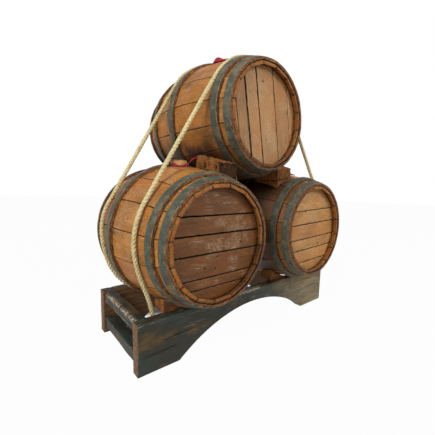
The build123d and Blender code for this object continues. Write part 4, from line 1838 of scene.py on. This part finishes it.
def course_at(course, run):
    """The station a part of the way along a cloth's course, on a smooth line through all of them."""
    place = run * (len(course) - 1)
    index = min(int(place), len(course) - 2)
    part = place - index
    before, first, second, after = (
        course[min(max(index + step, 0), len(course) - 1)] for step in (-1, 0, 1, 2)
    )
    values = []
    for a, b, c, d in zip(before, first, second, after):
        slope_in, slope_out = (c - a) / 2, (d - b) / 2
        bend = 3 * (c - b) - 2 * slope_in - slope_out
        turn = 2 * (b - c) + slope_in + slope_out
        values.append(b + slope_in * part + bend * part**2 + turn * part**3)
    return values


def make_cloth(name, draw):
    """A strip of cloth gathered round a bung's neck: its lobe flops over and its tail stands off."""
    plan = CLOTHS[name]
    width, length = plan["flat"]
    seed = draw.uniform(0, 50)
    bm = bmesh.new()
    layers = mesh_layers(bm)
    bmesh.ops.create_grid(bm, x_segments=130, y_segments=14, size=1)
    for vert in bm.verts:
        run, across = (vert.co.x + 1) / 2, (vert.co.y + 1) / 2
        vert[layers.grain] = Vector((run * length, across * width, 0))
        direction, foot, rise, near, far, flop = course_at(plan["course"], run)
        angle = math.radians(direction)
        body = smooth_step(run, 0.03, 0.2)
        ruffle = (0.5 + 0.5 * across) * body * min(1.0, rise / 6)
        radius = near + (far - near) * across**1.15
        radius += 0.75 * ruffle * math.sin(8 * angle + 2 * math.sin(3 * angle + seed))
        flopped = math.sin(math.pi * min(1.0, 0.04 + across * 0.92)) ** 0.7
        height = foot + rise * (across * (1 - flop) + flop * flopped)
        height += 0.7 * ruffle * across * math.cos(6 * angle + seed)
        distance = BUNG_FROM_FRONT + radius * MM * math.sin(angle)
        aside = radius * MM * math.cos(angle)
        fall = max(0.0, abs(aside) - 20 * MM) * 0.32
        place = Vector((aside, distance, stave_height(distance) + height * MM - fall))
        place.x += 0.5 * MM * wander(place, 0.005, 3) * body
        place.y += 0.4 * MM * wander(place, 0.005, 5) * body
        place.z += 0.6 * MM * wander(place, 0.0045, 8) * body
        place.z = max(place.z, stave_height(place.y) + 0.4 * MM - fall)
        vert[layers.grime] = smooth_step(1 - across, 0.55, 1.0)
        vert.co = place
    return bm


class CASKRACK_OT_bungs(bpy.types.Operator):
    """Turn the three bungs"""

    bl_idname = "caskrack.bungs"
    bl_label = "Bungs"

    def execute(self, context):
        finish = bung_finish()
        for seed, (name, cask) in enumerate(CASKS.items()):
            bm = make_bung(random.Random(80 + seed))
            stand_cask(bm, name, cask["stave_turn"])
            node = name + "_bung"
            finish_piece(bm, node + "_turned", node, "bung_wood", finish, node)
        return {"FINISHED"}


class CASKRACK_OT_cloths(bpy.types.Operator):
    """Gather a cloth round each bung"""

    bl_idname = "caskrack.cloths"
    bl_label = "Bung cloths"

    def execute(self, context):
        settings = context.scene.cask_cloth
        finish = cloth_finish(settings)
        for seed, (name, cask) in enumerate(CASKS.items()):
            bm = make_cloth(name, random.Random(90 + seed))
            stand_cask(bm, name, cask["stave_turn"])
            bung, node = name + "_bung", name + "_bung_cloth"
            cloth = finish_piece(bm, node + "_gathered", bung, "bung_cloth", finish, node, smooth=180)
            body = cloth.modifiers.new("thickness", "SOLIDIFY")
            body.thickness = settings.thickness
            body.offset = 0
        return {"FINISHED"}


# Spigots and staples


SPIGOT_DROP = 56 * MM
SPOUT_Y, SPOUT_LENGTH = 52.5 * MM, 16 * MM
SPIGOT_BORE = 3 * MM
KEY_Y, KEY_RADIUS, KEY_PLAY = 31 * MM, 6 * MM, 0.06 * MM


def cylinder(radius, length, place, axis="Z", segments=32, narrow=1.0):
    """A capped cylinder, or with narrow a cone, centred on a place along X, Y or Z."""
    bm = bmesh.new()
    bmesh.ops.create_cone(
        bm, cap_ends=True, segments=segments, radius1=radius * narrow, radius2=radius, depth=length
    )
    about, degrees = {"X": ("Y", 90), "Y": ("X", 90), "Z": ("Z", 0)}[axis]
    turn(bm, math.radians(degrees), about)
    move(bm, place)
    return bm


def lathe(outline, steps=48):
    """A solid turned about Y, its side view given as (distance, radius) points in millimetres."""
    return turned([(0, distance * MM, radius * MM) for distance, radius in outline], (0, 1, 0), steps)


def spigot_outline():
    """Side view of the spigot's turned body from its shank's tip, as (distance, radius) points."""
    flat = [(-20, 7.4), (-19.4, 8), (0, 9), (1.2, 8.8), (3, 8), (10, 7.9), (13, 8.2)]
    collar = [(14, 10.6), (14.8, 12), (15.6, 12.45), (17.2, 12.45), (17.9, 12), (18.3, 10.4), (19, 9.9)]
    belly = [
        (belly_y, 9.95 + 3.5 * math.sin(math.pi * (belly_y - 19) / 24) ** 0.6)
        for belly_y in (20.5, 22, 24, 26.5, 29, 31, 33, 35.5, 38, 40, 41.6)
    ]
    neck = [(42.6, 9.8), (43, 9.2), (43.2, 7.6), (44, 7.45), (50, 7.4), (56, 7.45)]
    nose = [(58, 7), (59.3, 5.8), (59.9, 4.2)]
    return flat + collar + belly + neck + nose


def spigot_body():
    """The turned body with its spout, bored through for the flow and for the key."""
    body = lathe(spigot_outline())
    spout = lathe([(0, 5.9), (3, 5.9), (9, 5.2), (12.5, 5.3), (14.6, 5.95), (16, 5.7)], 36)
    turn(spout, math.radians(-90), "X")
    move(spout, (0, SPOUT_Y, 0))
    joined = as_bmesh(combined(body, spout, "UNION", False))
    bores = bmesh.new()
    add_to(bores, cylinder(SPIGOT_BORE, SPOUT_Y + 21 * MM, (0, (SPOUT_Y - 21 * MM) / 2, 0), "Y"))
    add_to(bores, cylinder(SPIGOT_BORE, SPOUT_LENGTH + 1 * MM, (0, SPOUT_Y, -SPOUT_LENGTH / 2 - 0.5 * MM)))
    add_to(bores, cylinder(KEY_RADIUS + KEY_PLAY, 60 * MM, (0, KEY_Y, 0), segments=48))
    return as_bmesh(cut_away(joined, bores))


def spigot_key():
    """The key: a stem with its cross bore, and a flat grip with rounded ears."""
    stem = lathe([(-17, 5.2), (-16.2, 6), (15.5, 6), (16.6, 5.4), (18, 4.6)])
    turn(stem, math.radians(90), "X")
    main = as_bmesh(cut_away(stem, cylinder(SPIGOT_BORE, 30 * MM, (0, 0, 0), "X")))
    grip = bmesh.new()
    bmesh.ops.create_circle(grip, cap_ends=True, segments=48, radius=1)
    turn(grip, math.radians(90), "X")
    for vert in grip.verts:
        x, z = vert.co.x, vert.co.z
        waist = 1 - 0.22 * math.exp(-((x / 0.3) ** 2)) * (1 if z > 0 else 0)
        wide = math.copysign(abs(x) ** 0.75, x) * 14.8 * MM
        tall = math.copysign(abs(z) ** 0.7, z) * 6.9 * MM
        vert.co = (wide, 0, 24 * MM + tall * waist)
    bmesh.ops.translate(grip, verts=thicken(grip), vec=(0, 7.6 * MM, 0))
    move(grip, (0, -3.8 * MM, 0))
    bmesh.ops.recalc_face_normals(grip, faces=grip.faces)
    break_edges(grip, sharp_edges(grip), 1.3 * MM, 3)
    add_to(main, grip)
    move(main, (0, KEY_Y, 0))
    return main


class CASKRACK_OT_spigots(bpy.types.Operator):
    """Turn the three spigots and their keys"""

    bl_idname = "caskrack.spigots"
    bl_label = "Spigots"

    def execute(self, context):
        finish = spigot_finish()
        for name in CASKS:
            for part, make, body in (
                ("_spigot_body", spigot_body, "root"),
                ("_spigot_key", spigot_key, name + "_spigot_key"),
            ):
                bm = make()
                move(bm, (0, CASK_LENGTH - HEAD_RECESS, -SPIGOT_DROP))
                stand_cask(bm, name)
                finish_piece(bm, name + part + "_turned", body, "spigot_wood", finish, name + part)
        return {"FINISHED"}


class CASKRACK_OT_staples(bpy.types.Operator):
    """Give the staples that hold the ropes their iron finish"""

    bl_idname = "caskrack.staples"
    bl_label = "Staples"

    def execute(self, context):
        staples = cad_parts["rope_staples"]
        staples.data.materials.clear()
        staples.data.materials.append(wire_finish())
        return {"FINISHED"}


# Stage


OVALS_OF_SHADOW = (  # each with its middle, half width and half depth, in metres
    ((-0.01, 0.07), 0.17, 0.075),
    ((0.04, 0.16), 0.20, 0.15),
    ((-0.185, -0.035), 0.045, 0.07),
)


class CASKRACK_OT_stage(bpy.types.Operator):
    """Set the camera, the lamps, the pale floor and the white surroundings"""

    bl_idname = "caskrack.stage"
    bl_label = "Stage"

    def execute(self, context):
        scene = context.scene
        settings = scene.cask_stage
        scene.view_settings.view_transform = "Standard"
        self.camera(scene, settings)
        self.lamps(scene)
        self.floor(settings)
        self.world(scene)
        return {"FINISHED"}

    def camera(self, scene, settings):
        """The camera, held by its yaw, pitch and roll."""
        lens = bpy.data.cameras.new("camera")
        lens.lens = settings.focal_length
        lens.sensor_width = 36
        lens.clip_start = 0.01
        lens.clip_end = 50
        camera = bpy.data.objects.new("camera", lens)
        upright = math.radians(90) + settings.pitch
        aim = Matrix.Rotation(settings.yaw, 3, "Z") @ Matrix.Rotation(upright, 3, "X")
        aim = aim @ Matrix.Rotation(settings.roll, 3, "Z")
        camera.matrix_world = Matrix.Translation(settings.camera_place) @ aim.to_4x4()
        scene.collection.objects.link(camera)
        scene.camera = camera

    def lamps(self, scene):
        """A soft lamp high at the left, and a weaker one in front that lights the heads."""
        target = Vector((0, -0.05, 0.25))
        for name, place, across, power in (
            ("key", (-1.75, -0.75, 1.35), 0.9, 31),
            ("front", (0.55, -1.9, 1.25), 1.0, 18),
        ):
            light = bpy.data.lights.new(name, "AREA")
            light.shape = "DISK"
            light.size = across
            light.energy = power
            lamp = bpy.data.objects.new(name, light)
            lamp.location = place
            lamp.rotation_mode = "QUATERNION"
            lamp.rotation_quaternion = (target - Vector(place)).to_track_quat("-Z", "Y")
            scene.collection.objects.link(lamp)

    def floor(self, settings):
        """A wide pale floor that keeps the shadow, and shows close to white."""
        bm = bmesh.new()
        bmesh.ops.create_circle(bm, cap_ends=True, segments=96, radius=6)
        floor = loose_object(bm, "floor")
        made = Finish("floor")
        floor.data.materials.append(made.done(settings.floor_shade, 0.9))
        white_share = made.seen_white(0.97)
        for middle, width, depth in OVALS_OF_SHADOW:
            white_share = self.in_shadow(made, white_share, middle, width, depth)
        made.whiten(white_share, made.shader, made.node("Emission", None, 1.0), "Material Output")

    def in_shadow(self, made, white_share, middle, width, depth):
        """Less white in an oval of the floor under the rack, so that its shadow shows there."""
        values = (made.place(), (*middle, 0), None, (width, depth, 1))
        oval = made.node("Mapping", *values, vector_type="TEXTURE").outputs[0]
        away = made.node("VectorMath", oval, operation="LENGTH").outputs["Value"]
        return made.times(white_share, made.node("MapRange", away, 0.8).outputs[0])

    def world(self, scene):
        """Even surroundings that light the object softly and show white."""
        world = bpy.data.worlds.new("surroundings")
        scene.world = world
        world.use_nodes = True
        nodes = Nodes(world.node_tree)
        dim = nodes.tree.nodes["Background"]
        for socket, value in zip(dim.inputs, ((0.94, 0.97, 1.0, 1.0), 0.24)):
            socket.default_value = value
        white = nodes.node("Background", (1, 1, 1, 1), 1.0)
        nodes.whiten(nodes.seen_white(1.0), dim, white, "World Output")


OPERATORS = (
    CASKRACK_OT_stage,
    CASKRACK_OT_ropes,
    CASKRACK_OT_staves,
    CASKRACK_OT_hoops,
    CASKRACK_OT_heads,
    CASKRACK_OT_stand,
    CASKRACK_OT_blocks,
    CASKRACK_OT_bungs,
    CASKRACK_OT_cloths,
    CASKRACK_OT_spigots,
    CASKRACK_OT_staples,
)


class CASKRACK_PT_panel(bpy.types.Panel):
    """The cask rack's operators and settings."""

    bl_idname = "CASKRACK_PT_panel"
    bl_label = "Cask rack"
    bl_space_type = "VIEW_3D"
    bl_region_type = "UI"
    bl_category = "Cask rack"

    def draw(self, context):
        for operator in OPERATORS:
            self.layout.operator(operator.bl_idname)
        for name, group in SETTINGS.items():
            box = self.layout.box()
            box.label(text=group.__doc__)
            settings = getattr(context.scene, name)
            for field in group.__annotations__:
                box.prop(settings, field)


CLASSES = (*SETTINGS.values(), *OPERATORS, CASKRACK_PT_panel)


def register():
    """Register the classes and hang the settings on the scene."""
    for item in CLASSES:
        bpy.utils.register_class(item)
    for name, group in SETTINGS.items():
        setattr(bpy.types.Scene, name, PointerProperty(type=group))


def unregister():
    """Take the settings off the scene and unregister the classes."""
    for name in SETTINGS:
        delattr(bpy.types.Scene, name)
    for item in reversed(CLASSES):
        bpy.utils.unregister_class(item)


def main():
    """Register, and build each piece in turn."""
    register()
    for operator in OPERATORS:
        group, name = operator.bl_idname.split(".")
        getattr(getattr(bpy.ops, group), name)()
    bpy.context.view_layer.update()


if __name__ == "__main__":
    main()
